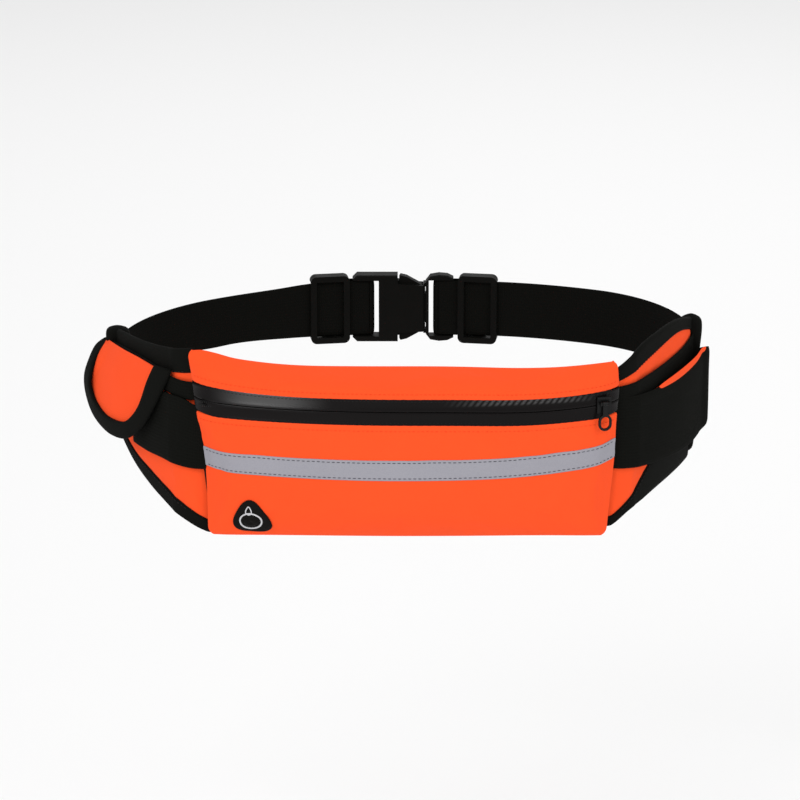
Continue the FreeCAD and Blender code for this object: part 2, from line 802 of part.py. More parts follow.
def make_buckle():
    socket = body("socket")
    outline = sketch_on(socket, "XZ", "socket_outline")
    top = [
        ("socket_end", "buckle_half - socket_chamfer"),
        ("socket_end + socket_chamfer", "buckle_half"),
        ("socket_shoulder", "buckle_half"),
        ("socket_shoulder", "socket_neck"),
        ("socket_mouth", "socket_neck - 1"),
    ]
    outline_sketch(outline, top + [(x, f"-({z})") for x, z in reversed(top)])
    pad(socket, outline, "buckle_thick")
    rounded(
        socket, "mould_round",
        lambda edge: edge.CenterOfMass.x < value("socket_shoulder") - 1 and not runs_along(edge, "y"),
    )
    slot = sketch_on(socket, "XZ", "socket_slot")
    outline_sketch(slot, rectangle("-bar_start", "-slot_start", "-slot_half", "slot_half"))
    pocket(socket, slot, "2 * buckle_thick")
    face = "bar_thick / 2"
    for side, near, far in (("inner", "-buckle_thick", f"-{face}"), ("outer", face, "buckle_thick")):
        relief = sketch_on(socket, "XY", f"socket_relief_{side}")
        outline_sketch(relief, rectangle("socket_end - 1", "relief_overlap - bar_start", near, far))
        pocket(socket, relief, "2 * slot_half")
    cavity = sketch_on(socket, "XZ", "socket_cavity")
    outline_sketch(cavity, rectangle("cavity_end", "socket_mouth + 1", "-cavity_half", "cavity_half"))
    pocket(socket, cavity, "cavity_thick")
    place(socket, y="buckle_y")
    keep("buckle_female", socket)

    plug = body("plug")
    outline = sketch_on(plug, "XZ", "plug_outline")
    top = [
        ("plug_start", "socket_neck + 1"),
        ("plug_start + 3", "buckle_half - 1"),
        ("bar_start + 1", "buckle_half"),
        ("bar_end - 2", "buckle_half - 0.5"),
        ("plug_end", "buckle_half - 2.5"),
    ]
    outline_sketch(outline, top + [(x, f"-({z})") for x, z in reversed(top)])
    pad(plug, outline, "plug_thick")
    rounded(plug, "mould_round", lambda edge: not runs_along(edge, "y") and not runs_along(edge, "z"))
    slot = sketch_on(plug, "XZ", "plug_slot")
    outline_sketch(slot, rectangle("slot_start", "bar_start", "-slot_half", "slot_half"))
    pocket(plug, slot, "2 * plug_thick")
    for side, near, far in (("inner", "-plug_thick", f"-{face}"), ("outer", face, "plug_thick")):
        relief = sketch_on(plug, "XY", f"plug_relief_{side}")
        outline_sketch(relief, rectangle("bar_start - relief_overlap", "plug_end + 1", near, far))
        pocket(plug, relief, "2 * slot_half")
    tongue = sketch_on(plug, "XZ", "plug_tongue")
    root = "plug_start + relief_overlap"
    outline_sketch(tongue, rectangle("tongue_end", root, "-tongue_half", "tongue_half"))
    pad(plug, tongue, "prong_thick")
    place(plug, y="buckle_y")
    keep("buckle_male", plug)

    for side, sign in (("upper", ""), ("lower", "-")):
        prong = body(f"prong_{side}")
        shape = sketch_on(prong, "XZ", f"prong_{side}_shape")
        corners = [
            ("prong_root_x", "prong_root_z - prong_root"),
            ("prong_root_x", "socket_neck - 1.2"),
            ("socket_shoulder + 6", "buckle_half - prong_taper"),
            ("socket_shoulder + 2 * prong_step", "buckle_half - prong_clearance"),
            ("socket_shoulder + prong_step", "buckle_half - 2"),
            ("socket_shoulder + prong_step", "cavity_half - prong_clearance"),
            ("cavity_end + 4", "cavity_half - prong_clearance"),
            ("cavity_end + prong_taper", "cavity_half - 4"),
            ("cavity_end + prong_taper + 1", "prong_root_z + prong_clearance"),
            ("socket_shoulder", "prong_root_z + prong_taper"),
        ]
        outline_sketch(shape, [(x, f"{sign}({z})") for x, z in corners])
        pad(prong, shape, "prong_thick")
        knuckle = sketch_on(prong, "XZ", f"prong_{side}_knuckle")
        circles(knuckle, [("prong_root_x", f"{sign}prong_root_z", "prong_root")])
        pad(prong, knuckle, "prong_thick")
        place(prong, y="buckle_y")
        keep(f"buckle_prong_{side}", prong)


make_pouch()
make_zip()
make_slider()
make_pull()
make_port()
make_wings()
make_pocket()
make_belt()
make_adjusters()
make_buckle()
doc.recompute()

faults = [thing.Name for thing in doc.Objects if {"Invalid", "Error"} & set(thing.State)]
for label, part in parts.items():
    if part.Shape.isNull() or not part.Shape.isValid() or not part.Shape.Solids:
        faults.append(label)
if faults:
    raise RuntimeError(f"failed objects: {faults}")

for label, part in parts.items():
    part.Shape.exportStep(f"parts/{label}.step")
    print(label, len(part.Shape.Solids), round(part.Shape.Volume))
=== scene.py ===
import math

import bmesh
import bpy
import numpy as np
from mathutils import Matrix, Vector


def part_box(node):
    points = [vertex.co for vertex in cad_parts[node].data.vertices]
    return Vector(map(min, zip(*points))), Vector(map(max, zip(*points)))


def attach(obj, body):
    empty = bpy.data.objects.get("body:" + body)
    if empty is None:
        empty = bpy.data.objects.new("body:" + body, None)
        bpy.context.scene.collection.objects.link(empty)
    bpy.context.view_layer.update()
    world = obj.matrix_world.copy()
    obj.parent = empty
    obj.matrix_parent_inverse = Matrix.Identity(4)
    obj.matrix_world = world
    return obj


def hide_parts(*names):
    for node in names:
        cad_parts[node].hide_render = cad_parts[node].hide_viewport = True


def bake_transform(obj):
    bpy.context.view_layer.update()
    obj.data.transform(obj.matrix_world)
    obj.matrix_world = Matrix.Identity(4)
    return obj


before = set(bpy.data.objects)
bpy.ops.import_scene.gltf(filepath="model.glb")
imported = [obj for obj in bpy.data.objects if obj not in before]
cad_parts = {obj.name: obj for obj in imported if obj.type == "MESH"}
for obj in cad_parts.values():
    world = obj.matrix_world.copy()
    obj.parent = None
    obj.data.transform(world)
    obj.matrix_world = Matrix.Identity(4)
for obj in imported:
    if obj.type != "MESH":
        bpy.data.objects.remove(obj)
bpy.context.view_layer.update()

MM = 0.001
UP = np.array([0.0, 0.0, 1.0])


def node_box(node):
    """Lowest and highest corner of a CAD node, in millimetres."""
    low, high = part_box(node)
    return np.array(low) / MM, np.array(high) / MM


BACK_LOW, BACK_HIGH = node_box("pouch_back_wall")
LOWER_LOW, LOWER_HIGH = node_box("pouch_front_lower")
UPPER_LOW = node_box("pouch_front_upper")[0]
STRIP_LOW, STRIP_HIGH = node_box("reflective_strip")
TAB_LOW, TAB_HIGH = node_box("wing_end_tab_right")
STRAP_LOW, STRAP_HIGH = node_box("strap_right")
PORT_LOW, PORT_HIGH = node_box("earphone_patch")

SEAM_Y = BACK_LOW[1]
HALF_WIDTH = BACK_HIGH[0]
FRONT_Y = LOWER_LOW[1]
FLOOR_Z = BACK_LOW[2]
TOP_Z = BACK_HIGH[2]
ZIP_LOW = LOWER_HIGH[2]
ZIP_HIGH = UPPER_LOW[2]
FRONT_RADIUS = 500.0
FOAM = 2.5
SIDES = ((1, "right"), (-1, "left"))


# ---- meshes ----


def smooth_line(points, count):
    """A smooth line of count points through the given ones, evenly spaced."""
    points = np.array(points, float)
    ends = np.vstack([2 * points[0] - points[1], points, 2 * points[-1] - points[-2]])
    fine = []
    for i in range(len(points) - 1):
        a, b, c, d = ends[i:i + 4]
        for t in np.linspace(0, 1, 24, endpoint=False):
            fine.append(0.5 * (2 * b + (c - a) * t + (2 * a - 5 * b + 4 * c - d) * t**2
                               + (3 * b - a - 3 * c + d) * t**3))
    fine.append(points[-1])
    return evenly(np.array(fine), count)


def reach_along(line):
    """Distance along a line to each of its points."""
    return np.concatenate([[0], np.cumsum(np.linalg.norm(np.diff(line, axis=0), axis=1))])


def unit(vectors):
    """The vectors, each of length 1."""
    return vectors / np.maximum(np.linalg.norm(vectors, axis=-1, keepdims=True), 1e-9)


def evenly(line, count):
    """The same line with count points at even distances."""
    along = reach_along(line)
    wanted = np.linspace(0, along[-1], count)
    return np.stack([np.interp(wanted, along, line[:, k]) for k in range(line.shape[1])], axis=1)


def grid_normals(points):
    """Unit normals of a grid of points, pointing to the left of u as v goes up."""
    return unit(np.cross(np.gradient(points, axis=0), np.gradient(points, axis=1)))


def grid_lengths(points):
    """Distances along the grid in metres, as texture coordinates."""
    across = np.linalg.norm(np.diff(points, axis=0), axis=2).mean(axis=1)
    up = np.linalg.norm(np.diff(points, axis=1), axis=2).mean(axis=0)
    along_u = np.concatenate([[0], np.cumsum(across)]) * MM
    along_v = np.concatenate([[0], np.cumsum(up)]) * MM
    return np.stack(np.meshgrid(along_u, along_v, indexing="ij"), axis=2)


def place_object(name, data):
    """A new object in the scene."""
    thing = bpy.data.objects.new(name, data)
    bpy.context.scene.collection.objects.link(thing)
    return thing


def bare_mesh(name, points, faces):
    """A mesh from points in millimetres."""
    mesh = bpy.data.meshes.new(name)
    mesh.from_pydata([tuple(p) for p in np.asarray(points) * MM], [], [tuple(f) for f in faces])
    return mesh


def ring_faces(rings, sides):
    """Quads between rings of points, each ring closed on itself."""
    faces = []
    for ring in range(rings - 1):
        for turn in range(sides):
            a, b = ring * sides + turn, ring * sides + (turn + 1) % sides
            faces.append((a, b, b + sides, a + sides))
    return faces


def capped_faces(rings, sides):
    """The same, closed at the first and the last ring."""
    first = tuple(reversed(range(sides)))
    last = tuple((rings - 1) * sides + turn for turn in range(sides))
    return ring_faces(rings, sides) + [first, last]


def add_mesh(name, points, faces, material, coordinates=None, subdivide=False):
    """A smooth mesh object, with texture coordinates laid on the cloth if they are given."""
    mesh = bare_mesh(name, points, faces)
    mesh.validate()
    if coordinates is not None:
        layer = mesh.uv_layers.new(name="cloth")
        order = np.empty(len(mesh.loops), dtype=int)
        mesh.loops.foreach_get("vertex_index", order)
        layer.data.foreach_set("uv", np.asarray(coordinates)[order].astype(np.float32).ravel())
    mesh.polygons.foreach_set("use_smooth", [True] * len(mesh.polygons))
    mesh.materials.append(material)
    thing = place_object(name, mesh)
    if subdivide:
        modifier = thing.modifiers.new("smooth", "SUBSURF")
        modifier.levels = modifier.render_levels = 1
    return thing


def quads(a, b, c, d):
    """Faces from their four corners' indices."""
    return np.stack([a.ravel(), b.ravel(), c.ravel(), d.ravel()], axis=1)


def grid_quads(index):
    """The faces of a grid of point indices."""
    return quads(index[:-1, :-1], index[1:, :-1], index[1:, 1:], index[:-1, 1:])


def add_slab(name, outer, inner, material):
    """A closed solid between two grids of points."""
    rows, columns = outer.shape[:2]
    count = rows * columns
    index = np.arange(count).reshape(rows, columns)
    faces = [grid_quads(index), grid_quads(index)[:, [0, 3, 2, 1]] + count]
    for edge in (index[::-1, 0], index[:, -1], index[0], index[-1, ::-1]):
        faces.append(quads(edge[:-1], edge[1:], edge[1:] + count, edge[:-1] + count))
    points = np.vstack([outer.reshape(-1, 3), inner.reshape(-1, 3)])
    lengths = grid_lengths(outer).reshape(-1, 2)
    thing = add_mesh(name, points, np.vstack(faces), material, np.vstack([lengths, lengths]), True)
    fix_normals(thing)
    return thing


def fix_normals(thing):
    """Turn all faces of a closed mesh outwards."""
    work = bmesh.new()
    work.from_mesh(thing.data)
    bmesh.ops.recalc_face_normals(work, faces=work.faces)
    work.to_mesh(thing.data)
    work.free()


def rounded_share(count, power):
    """Share of the full thickness across a strip, falling off at its two edges."""
    across = np.linspace(-1, 1, count)
    return np.maximum((1 - np.abs(across) ** power) ** (1 / power), 0.18)


def add_sheet(name, middle, thickness, material, edge_power, ends_power):
    """A strip of cloth with rounded edges, centred on a grid of points."""
    rows, columns = middle.shape[:2]
    share = np.outer(rounded_share(rows, ends_power), rounded_share(columns, edge_power))
    half = grid_normals(middle) * share[:, :, None] * thickness / 2
    thing = add_slab(name, middle + half, middle - half, material)
    note_cut(thing, middle)
    return thing


def upright(plan, low, high, columns):
    """A grid that stands on a plan line: low and high are its edges' heights."""
    count = len(plan)
    low, high = np.broadcast_to(low, count), np.broadcast_to(high, count)
    share = np.linspace(0, 1, columns)
    heights = low[:, None] * (1 - share) + high[:, None] * share
    flat = np.repeat(plan[:, None, :2], columns, axis=1)
    return np.concatenate([flat, heights[:, :, None]], axis=2)


def squared(value, power):
    """A sine or cosine pushed towards -1 and 1, so that a circle becomes squarer."""
    return np.copysign(np.abs(value) ** power, value)


def flipped(points):
    """The same points on the other side of the loop."""
    return points * np.array([-1.0, 1.0, 1.0])


def full_turn(count):
    """Angles all round, evenly spaced."""
    return 2 * math.pi * np.arange(count) / count


def arc(centre, radius, start, end, count):
    """Points of an arc in plan; angles in degrees from +X."""
    angle = np.radians(np.linspace(start, end, count))
    return np.stack([centre[0] + radius * np.cos(angle), centre[1] + radius * np.sin(angle)], axis=1)


BEAD_SIDES = 6
# a stitch from end to end: place along it, and its thickness there, as shares of the halves
BEAD_SHAPE = [(-1.0, 0.02), (-0.75, 0.75), (0.0, 1.0), (0.75, 0.75), (1.0, 0.02)]


def add_stitches(name, line, normals, material, pitch=3.0, length=2.0, width=0.55, rise=0.1):
    """A row of thread beads along a line, lying on a surface with the given normals."""
    count = max(int(reach_along(line)[-1] / pitch), 2)
    fine = evenly(np.hstack([line, normals]), count * 2 + 1)
    bead = capped_faces(len(BEAD_SHAPE), BEAD_SIDES)
    points, faces = [], []
    for k in range(count):
        centre = fine[2 * k + 1, :3]
        along = unit(fine[2 * k + 2, :3] - fine[2 * k, :3])
        up = fine[2 * k + 1, 3:]
        up = unit(up - along * up.dot(along))
        side = np.cross(along, up)
        base = len(points)
        for place, size in BEAD_SHAPE:
            for angle in full_turn(BEAD_SIDES):
                reach = side * math.cos(angle) + up * math.sin(angle)
                points.append(centre + up * rise + along * place * length / 2 + reach * size * width / 2)
        faces += [tuple(base + corner for corner in face) for face in bead]
    return add_mesh(name, points, faces, material)


def note_cut(thing, grid):
    """Keep a grid's longest length, longest width and area on the piece, in metres."""
    length = np.linalg.norm(np.diff(grid, axis=0), axis=2).sum(axis=0).max() * MM
    width = np.linalg.norm(np.diff(grid, axis=1), axis=2).sum(axis=1).max() * MM
    crossed = np.cross(grid[1:, 1:] - grid[:-1, :-1], grid[1:, :-1] - grid[:-1, 1:])
    area = np.linalg.norm(crossed, axis=2).sum() / 2 * MM**2
    thing["cut_length"], thing["cut_width"] = float(length), float(width)
    thing["cut_area"] = float(min(area, length * width))


def belongs(thing, node=None, body="pack"):
    """Tie a finished piece to its CAD body and hide the node that it replaces."""
    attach(thing, body)
    if node:
        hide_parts(node)
    return thing


# ---- materials ----


def feed(tree, socket, value):
    """Link a socket to another node's output, or set it to a number or colour."""
    if isinstance(value, bpy.types.NodeSocket):
        tree.links.new(value, socket)
    else:
        socket.default_value = value


def adjust(tree, node, **settings):
    """Set a node's properties and feed its named inputs."""
    for name, value in settings.items():
        if hasattr(node, name):
            setattr(node, name, value)
        else:
            feed(tree, node.inputs[name.replace("_", " ")], value)


def add_node(tree, kind, **settings):
    made = tree.nodes.new(kind)
    adjust(tree, made, **settings)
    return made


def combine(tree, operation, first, second):
    """The result of a sum or comparison of two values."""
    maths = add_node(tree, "ShaderNodeMath", operation=operation)
    for slot, value in enumerate((first, second)):
        feed(tree, maths.inputs[slot], value)
    return maths.outputs[0]


def mix_colours(tree, share, first, second, blend="MIX"):
    """The second colour laid over the first by a share."""
    mix = add_node(tree, "ShaderNodeMix", data_type="RGBA", blend_type=blend)
    for slot, value in ((0, share), (6, first), (7, second)):
        feed(tree, mix.inputs[slot], value)
    return mix.outputs[2]


def object_place(tree):
    """Where a point lies on the piece, in metres."""
    return add_node(tree, "ShaderNodeTexCoord").outputs["Object"]


def cloth_place(tree):
    """Where a point lies on the flat cloth, in metres."""
    return add_node(tree, "ShaderNodeUVMap", uv_map="cloth").outputs["UV"]


def noise(tree, scale, detail, roughness=0.5):
    """Uneven shares from 0 to 1, fixed to the piece."""
    return add_node(tree, "ShaderNodeTexNoise", Vector=object_place(tree), Scale=scale, Detail=detail,
                    Roughness=roughness).outputs["Fac"]


def ribs(tree, place, pitch, **settings):
    """Parallel ribs a pitch apart in millimetres, as heights from 0 to 1."""
    scale = math.pi / 10 / (pitch * MM)
    return add_node(tree, "ShaderNodeTexWave", Vector=place, Scale=scale, **settings).outputs["Fac"]


def scaled(tree, value, low, high):
    """Shares from 0 to 1 spread between low and high."""
    return add_node(tree, "ShaderNodeMapRange", Value=value, To_Min=low, To_Max=high).outputs["Result"]


def ramp(tree, value, zero, one):
    """0 at one place and 1 at the other, given in millimetres, with a smooth rise between them."""
    low, high = (0.0, 1.0) if zero < one else (1.0, 0.0)
    start, end = sorted((zero * MM, one * MM))
    return add_node(tree, "ShaderNodeMapRange", interpolation_type="SMOOTHSTEP", Value=value,
                    From_Min=start, From_Max=end, To_Min=low, To_Max=high).outputs["Result"]


def between(tree, value, places):
    """1 between the two middle places, falling smoothly to 0 at the outer ones."""
    start, full, fading, end = places
    return combine(tree, "MULTIPLY", ramp(tree, value, start, full), ramp(tree, value, end, fading))


def add_bump(tree, shader, height, distance):
    bump = add_node(tree, "ShaderNodeBump", Strength=1.0, Distance=distance * MM, Height=height)
    adjust(tree, shader, Normal=bump.outputs["Normal"])


def base_material(name, colour, roughness, specular, sheen=0.0):
    """A material with mottled colour; returns it with its tree, shader and colour."""
    material = bpy.data.materials.new(name)
    material.use_nodes = True
    tree = material.node_tree
    shader = tree.nodes["Principled BSDF"]
    dark = [MOTTLE_SHADE * c for c in colour]
    tone = mix_colours(tree, noise(tree, MOTTLE_SCALE, 3.0, 0.55), (*dark, 1), (*colour, 1))
    adjust(tree, shader, Roughness=roughness, Specular_IOR_Level=specular, Sheen_Weight=sheen,
           Sheen_Roughness=0.5, Base_Color=tone)
    return material, tree, shader, tone


def woven(name, colour, along_pitch, across_pitch, depth, roughness, specular, sheen=0.0,
          how="MULTIPLY", shade=0.25):
    """Cloth with a weave, knit or rib: relief, with painted shade darkening the gaps between the threads."""
    material, tree, shader, tone = base_material(name, colour, roughness, specular, sheen)
    place = cloth_place(tree)
    along = ribs(tree, place, along_pitch, bands_direction="X", Detail_Scale=200.0)
    across = ribs(tree, place, across_pitch, bands_direction="Y", Detail_Scale=200.0)
    height = combine(tree, how, along, across)
    add_bump(tree, shader, height, depth)
    # painted shade: the colour is darkened where the relief is low, between the threads
    gaps = combine(tree, "SUBTRACT", 1.0, height)
    gap_shade = mix_colours(tree, gaps, tone, (1 - shade, 1 - shade, 1 - shade, 1), "MULTIPLY")
    adjust(tree, shader, Base_Color=gap_shade)
    return material


def moulded(name, colour, roughness, specular, grain=0.02, metallic=0.0):
    """Moulded plastic, rubber or painted metal with a fine grain and uneven gloss."""
    material, tree, shader, _ = base_material(name, colour, roughness, specular)
    add_bump(tree, shader, noise(tree, 2500.0, 2.0), grain)
    gloss = scaled(tree, noise(tree, 120.0, 4.0), roughness - 0.08, roughness + 0.08)
    adjust(tree, shader, Metallic=metallic, Roughness=gloss)
    return material


def film_material():
    """Glossy coated zip tape: smooth, with a faint twill; its gloss is raised in one patch as a painted
    highlight and in streaks in another as painted reflection streaks.
    """
    material, tree, shader, _ = base_material("coated_zip_film", (0.0045, 0.0035, 0.0035), 0.27, 0.1)
    turned = add_node(tree, "ShaderNodeMapping", Vector=cloth_place(tree), Rotation=(0, 0, math.radians(35)))
    twill = turned.outputs["Vector"]
    add_bump(tree, shader, ribs(tree, twill, 0.7), 0.012)
    place = add_node(tree, "ShaderNodeSeparateXYZ", Vector=object_place(tree)).outputs

    def patch(across, up):
        return combine(tree, "MULTIPLY", between(tree, place["X"], across), between(tree, place["Z"], up))

    # painted highlight and painted reflection streaks: the gloss is raised in fixed patches of the film, not
    # by where the lamps fall
    highlight_patch, glint_patch = patch(HIGHLIGHT_X, HIGHLIGHT_Z), patch(GLINT_STREAKS_X, GLINT_STREAKS_Z)
    glint_streaks = combine(tree, "MULTIPLY", glint_patch, ribs(tree, twill, 3.2, Distortion=1.2))
    gloss = scaled(tree, combine(tree, "MAXIMUM", highlight_patch, glint_streaks), 0.09, 0.85)
    adjust(tree, shader, Specular_IOR_Level=gloss)
    return material


def reflective_material():
    """Silver-grey glass-bead cloth: tiny cells under a soft shine."""
    material, tree, shader, tone = base_material("glass_bead_cloth", (0.315, 0.31, 0.345), 0.55, 0.3)
    cells = add_node(tree, "ShaderNodeTexVoronoi", Vector=cloth_place(tree), Scale=1500.0).outputs["Distance"]
    add_bump(tree, shader, cells, 0.03)
    speck = mix_colours(tree, cells, tone, (0.9, 0.9, 0.92, 1), "MULTIPLY")
    adjust(tree, shader, Base_Color=speck)
    return material


MOTTLE_SCALE = 45.0
MOTTLE_SHADE = 0.93
# where the zip's film carries its painted highlight and painted reflection streaks (raised gloss): start,
# full, fading and end of each patch
HIGHLIGHT_X, HIGHLIGHT_Z = (-122, -92, -80, -42), (0, 6, 10, 14)
GLINT_STREAKS_X, GLINT_STREAKS_Z = (20, 60, 95, 122), (3.5, 5.5, 7.5, 9)
BLACK = (0.0055, 0.0056, 0.0052)
ORANGE = woven("orange_jersey", (1.0, 0.089, 0.0195), 0.7, 0.9, 0.05, 0.9, 0.08, 0.02, shade=0.06)
DARK = (0.0048, 0.005, 0.004)
LINING = woven("black_lining", BLACK, 1.6, 1.6, 0.2, 0.9, 0.1, shade=0.5)
TAPE_CLOTH = woven("black_binding_tape", DARK, 0.8, 0.8, 0.06, 0.88, 0.07)
ELASTIC = woven("black_elastic", DARK, 1.1, 2.2, 0.12, 0.9, 0.05, how="MAXIMUM", shade=0.3)
WEBBING = woven("black_webbing", DARK, 1.3, 1.9, 0.16, 0.85, 0.05, shade=0.3)
FILM = film_material()
REFLECTIVE = reflective_material()
RUBBER = moulded("port_rubber", (0.004, 0.0035, 0.003), 0.6, 0.07)
SILVER = moulded("silver_print", (0.55, 0.55, 0.57), 0.45, 0.5, metallic=0.2)
PLASTIC = moulded("buckle_plastic", (0.0042, 0.0042, 0.0036), 0.5, 0.06)
METAL = moulded("slider_enamel", (0.004, 0.004, 0.004), 0.35, 0.18, grain=0.004)
COIL = moulded("zip_coil", (0.008, 0.008, 0.008), 0.5, 0.2)
DARK_THREAD = moulded("dark_thread", (0.06, 0.06, 0.075), 0.8, 0.1)
BLACK_THREAD = moulded("black_thread", (0.012, 0.012, 0.013), 0.75, 0.15)
ORANGE_THREAD = moulded("orange_thread", (0.8, 0.07, 0.015), 0.8, 0.1)


# ---- pouch ----


def curve_through(places, values):
    """A smooth function through a few points, for soft outlines."""
    places = np.array(places, float)
    values = np.array(values, float)
    slopes = np.gradient(values, places)

    def at(where):
        where = np.clip(where, places[0], places[-1])
        k = np.clip(np.searchsorted(places, where) - 1, 0, len(places) - 2)
        gap = places[k + 1] - places[k]
        t = (where - places[k]) / gap
        return (values[k] * (1 + 2 * t) * (1 - t) ** 2 + values[k + 1] * t * t * (3 - 2 * t)
                + gap * (slopes[k] * t * (1 - t) ** 2 - slopes[k + 1] * t * t * (1 - t)))

    return at


TOP_EDGE = ZIP_HIGH + 15.4
# The side seams slant in towards the floor, more on the pocket's side.
SEAM_HEIGHTS = (FLOOR_Z, -35, ZIP_LOW, ZIP_HIGH, TOP_Z)
LEFT_SEAM = curve_through(SEAM_HEIGHTS, (122.5, 124.5, 129, 131, 134))
RIGHT_SEAM = curve_through(SEAM_HEIGHTS, (126.5, 131, 132, 133, 131.5))
CORNER = 5.0
TOP_CORNER = 4.0


def pouch_half_width(side, z):
    """Distance from the middle to a side seam, with rounded corners."""
    width = LEFT_SEAM(z) if side < 0 else RIGHT_SEAM(z)
    above = np.clip(z - FLOOR_Z, 0, CORNER)
    below = np.clip(TOP_EDGE - z, 0, TOP_CORNER)
    width += np.sqrt(CORNER**2 - (CORNER - above) ** 2) - CORNER
    return width + np.sqrt(TOP_CORNER**2 - (TOP_CORNER - below) ** 2) - TOP_CORNER


# How far the left top corner rises past the line towards it, at shares of the front's width.
LEFT_CORNER = curve_through((-1, -0.95, -0.9, -0.8, -0.7, 1), (-0.3, 2.1, 2.2, 0.5, 0, 0))


def corner_lift(share, z):
    """The belt pulls the top corners up; the floor dips at its ends and the zip sags on the right."""
    up = np.clip((z - ZIP_LOW) / (TOP_Z - ZIP_LOW), 0, 1)
    left = np.clip((-share - 0.35) / 0.65, 0, 1) ** 2.4
    right = np.clip((share - 0.7) / 0.3, 0, 1) ** 2
    down = np.clip((-60 - z) / (-60 - FLOOR_Z), 0, 1)
    sag = np.clip((z + 28) / 20, 0, 1) * math.exp(-((share - 0.6) / 0.3) ** 2)
    corner = LEFT_CORNER(share) * up**4
    return corner + left * (0.8 + 9.0 * up**1.4) + right * 2.2 * up - 3.3 * down * abs(share) ** 3 - 1.9 * sag


def front_point(share, z, arc_depth, edge_depth):
    """A point of the pouch's front. share runs from -1 at one side seam to 1 at the other."""
    x = share * pouch_half_width(math.copysign(1, share), z)
    y = SEAM_Y - arc_depth * (1 - share**2) - edge_depth * (1 - abs(share) ** 20)
    return np.array([x, y, z + corner_lift(share, z)])


def front_shares(count):
    """Places across the front, closer together where it rounds into the side seams."""
    even = np.linspace(-1, 1, count)
    return np.sign(even) * (1 - (1 - np.abs(even)) ** 1.35)


ZIP_ARC_DEPTH = FRONT_RADIUS - math.sqrt(FRONT_RADIUS**2 - HALF_WIDTH**2)
ZIP_EDGE_DEPTH = SEAM_Y - FRONT_Y - ZIP_ARC_DEPTH
SHARES = front_shares(141)

# Profiles of the front: height, depth of the arc, depth at the edges.
LOWER_PROFILE = [
    (FLOOR_Z + 0.2, 3.0, 0.5),
    (FLOOR_Z + 0.8, 7.5, 3.2),
    (FLOOR_Z + 3.5, 11.5, 5.6),
    (FLOOR_Z + 10, 15.5, 7.4),
    (FLOOR_Z + 24, 18.8, 8.4),
    (FLOOR_Z + 42, 20.0, 8.6),
    (FLOOR_Z + 62, 18.6, 8.4),
    (ZIP_LOW, ZIP_ARC_DEPTH, ZIP_EDGE_DEPTH),
]
UPPER_PROFILE = [
    (ZIP_HIGH, ZIP_ARC_DEPTH, ZIP_EDGE_DEPTH),
    (ZIP_HIGH + 4, ZIP_ARC_DEPTH - 0.3, ZIP_EDGE_DEPTH - 0.3),
    (ZIP_HIGH + 8, ZIP_ARC_DEPTH - 2.4, ZIP_EDGE_DEPTH - 1.6),
    (ZIP_HIGH + 12, ZIP_ARC_DEPTH - 7.2, ZIP_EDGE_DEPTH - 4.0),
    (ZIP_HIGH + 14.6, 4.4, 1.4),
    (ZIP_HIGH + 15.2, 0.8, 0.0),
]


def front_grid(profile, shares, columns):
    """The front's surface between two seams, for a profile of it."""
    rows = smooth_line(profile, columns)
    return np.array([[front_point(s, *row) for row in rows] for s in shares])


def wrinkled(points, depth, seed, wave=17.0):
    """Soft, shallow unevenness, as foamed cloth has, fading out at the edges."""
    rows, columns = points.shape[:2]
    generator = np.random.default_rng(seed)
    u, v = np.meshgrid(np.linspace(0, 1, rows), np.linspace(0, 1, columns), indexing="ij")
    relief = np.zeros((rows, columns))
    for k in range(5):
        across, up = generator.uniform(0.4, 1.6, 2)
        phase = generator.uniform(0, 2 * math.pi, 2)
        relief += np.sin(across * wave * u + phase[0]) * np.sin(up * 5 * v + phase[1])
    fade = np.minimum(1, 6 * np.minimum(v, 1 - v)) * np.minimum(1, 12 * np.minimum(u, 1 - u))
    return points + grid_normals(points) * (relief * fade * depth / 3)[:, :, None]


PUCKER_PITCH = 4.2
PUCKER_DEPTH = 0.16


def puckered(points, rim, reach):
    """Small pulls along a seam at a rim of the cloth: dimples that fade away from it."""
    lengths = grid_lengths(points)[:, 0, 0] / MM
    distance = np.abs(np.linspace(0, 1, points.shape[1]) - rim)
    fade = np.exp(-(distance / reach) ** 2)
    pull = np.sin(lengths * 2 * math.pi / PUCKER_PITCH)[:, None] * fade[None, :]
    return points - grid_normals(points) * (pull * PUCKER_DEPTH)[:, :, None]


CLOTH_FRAMES = 18


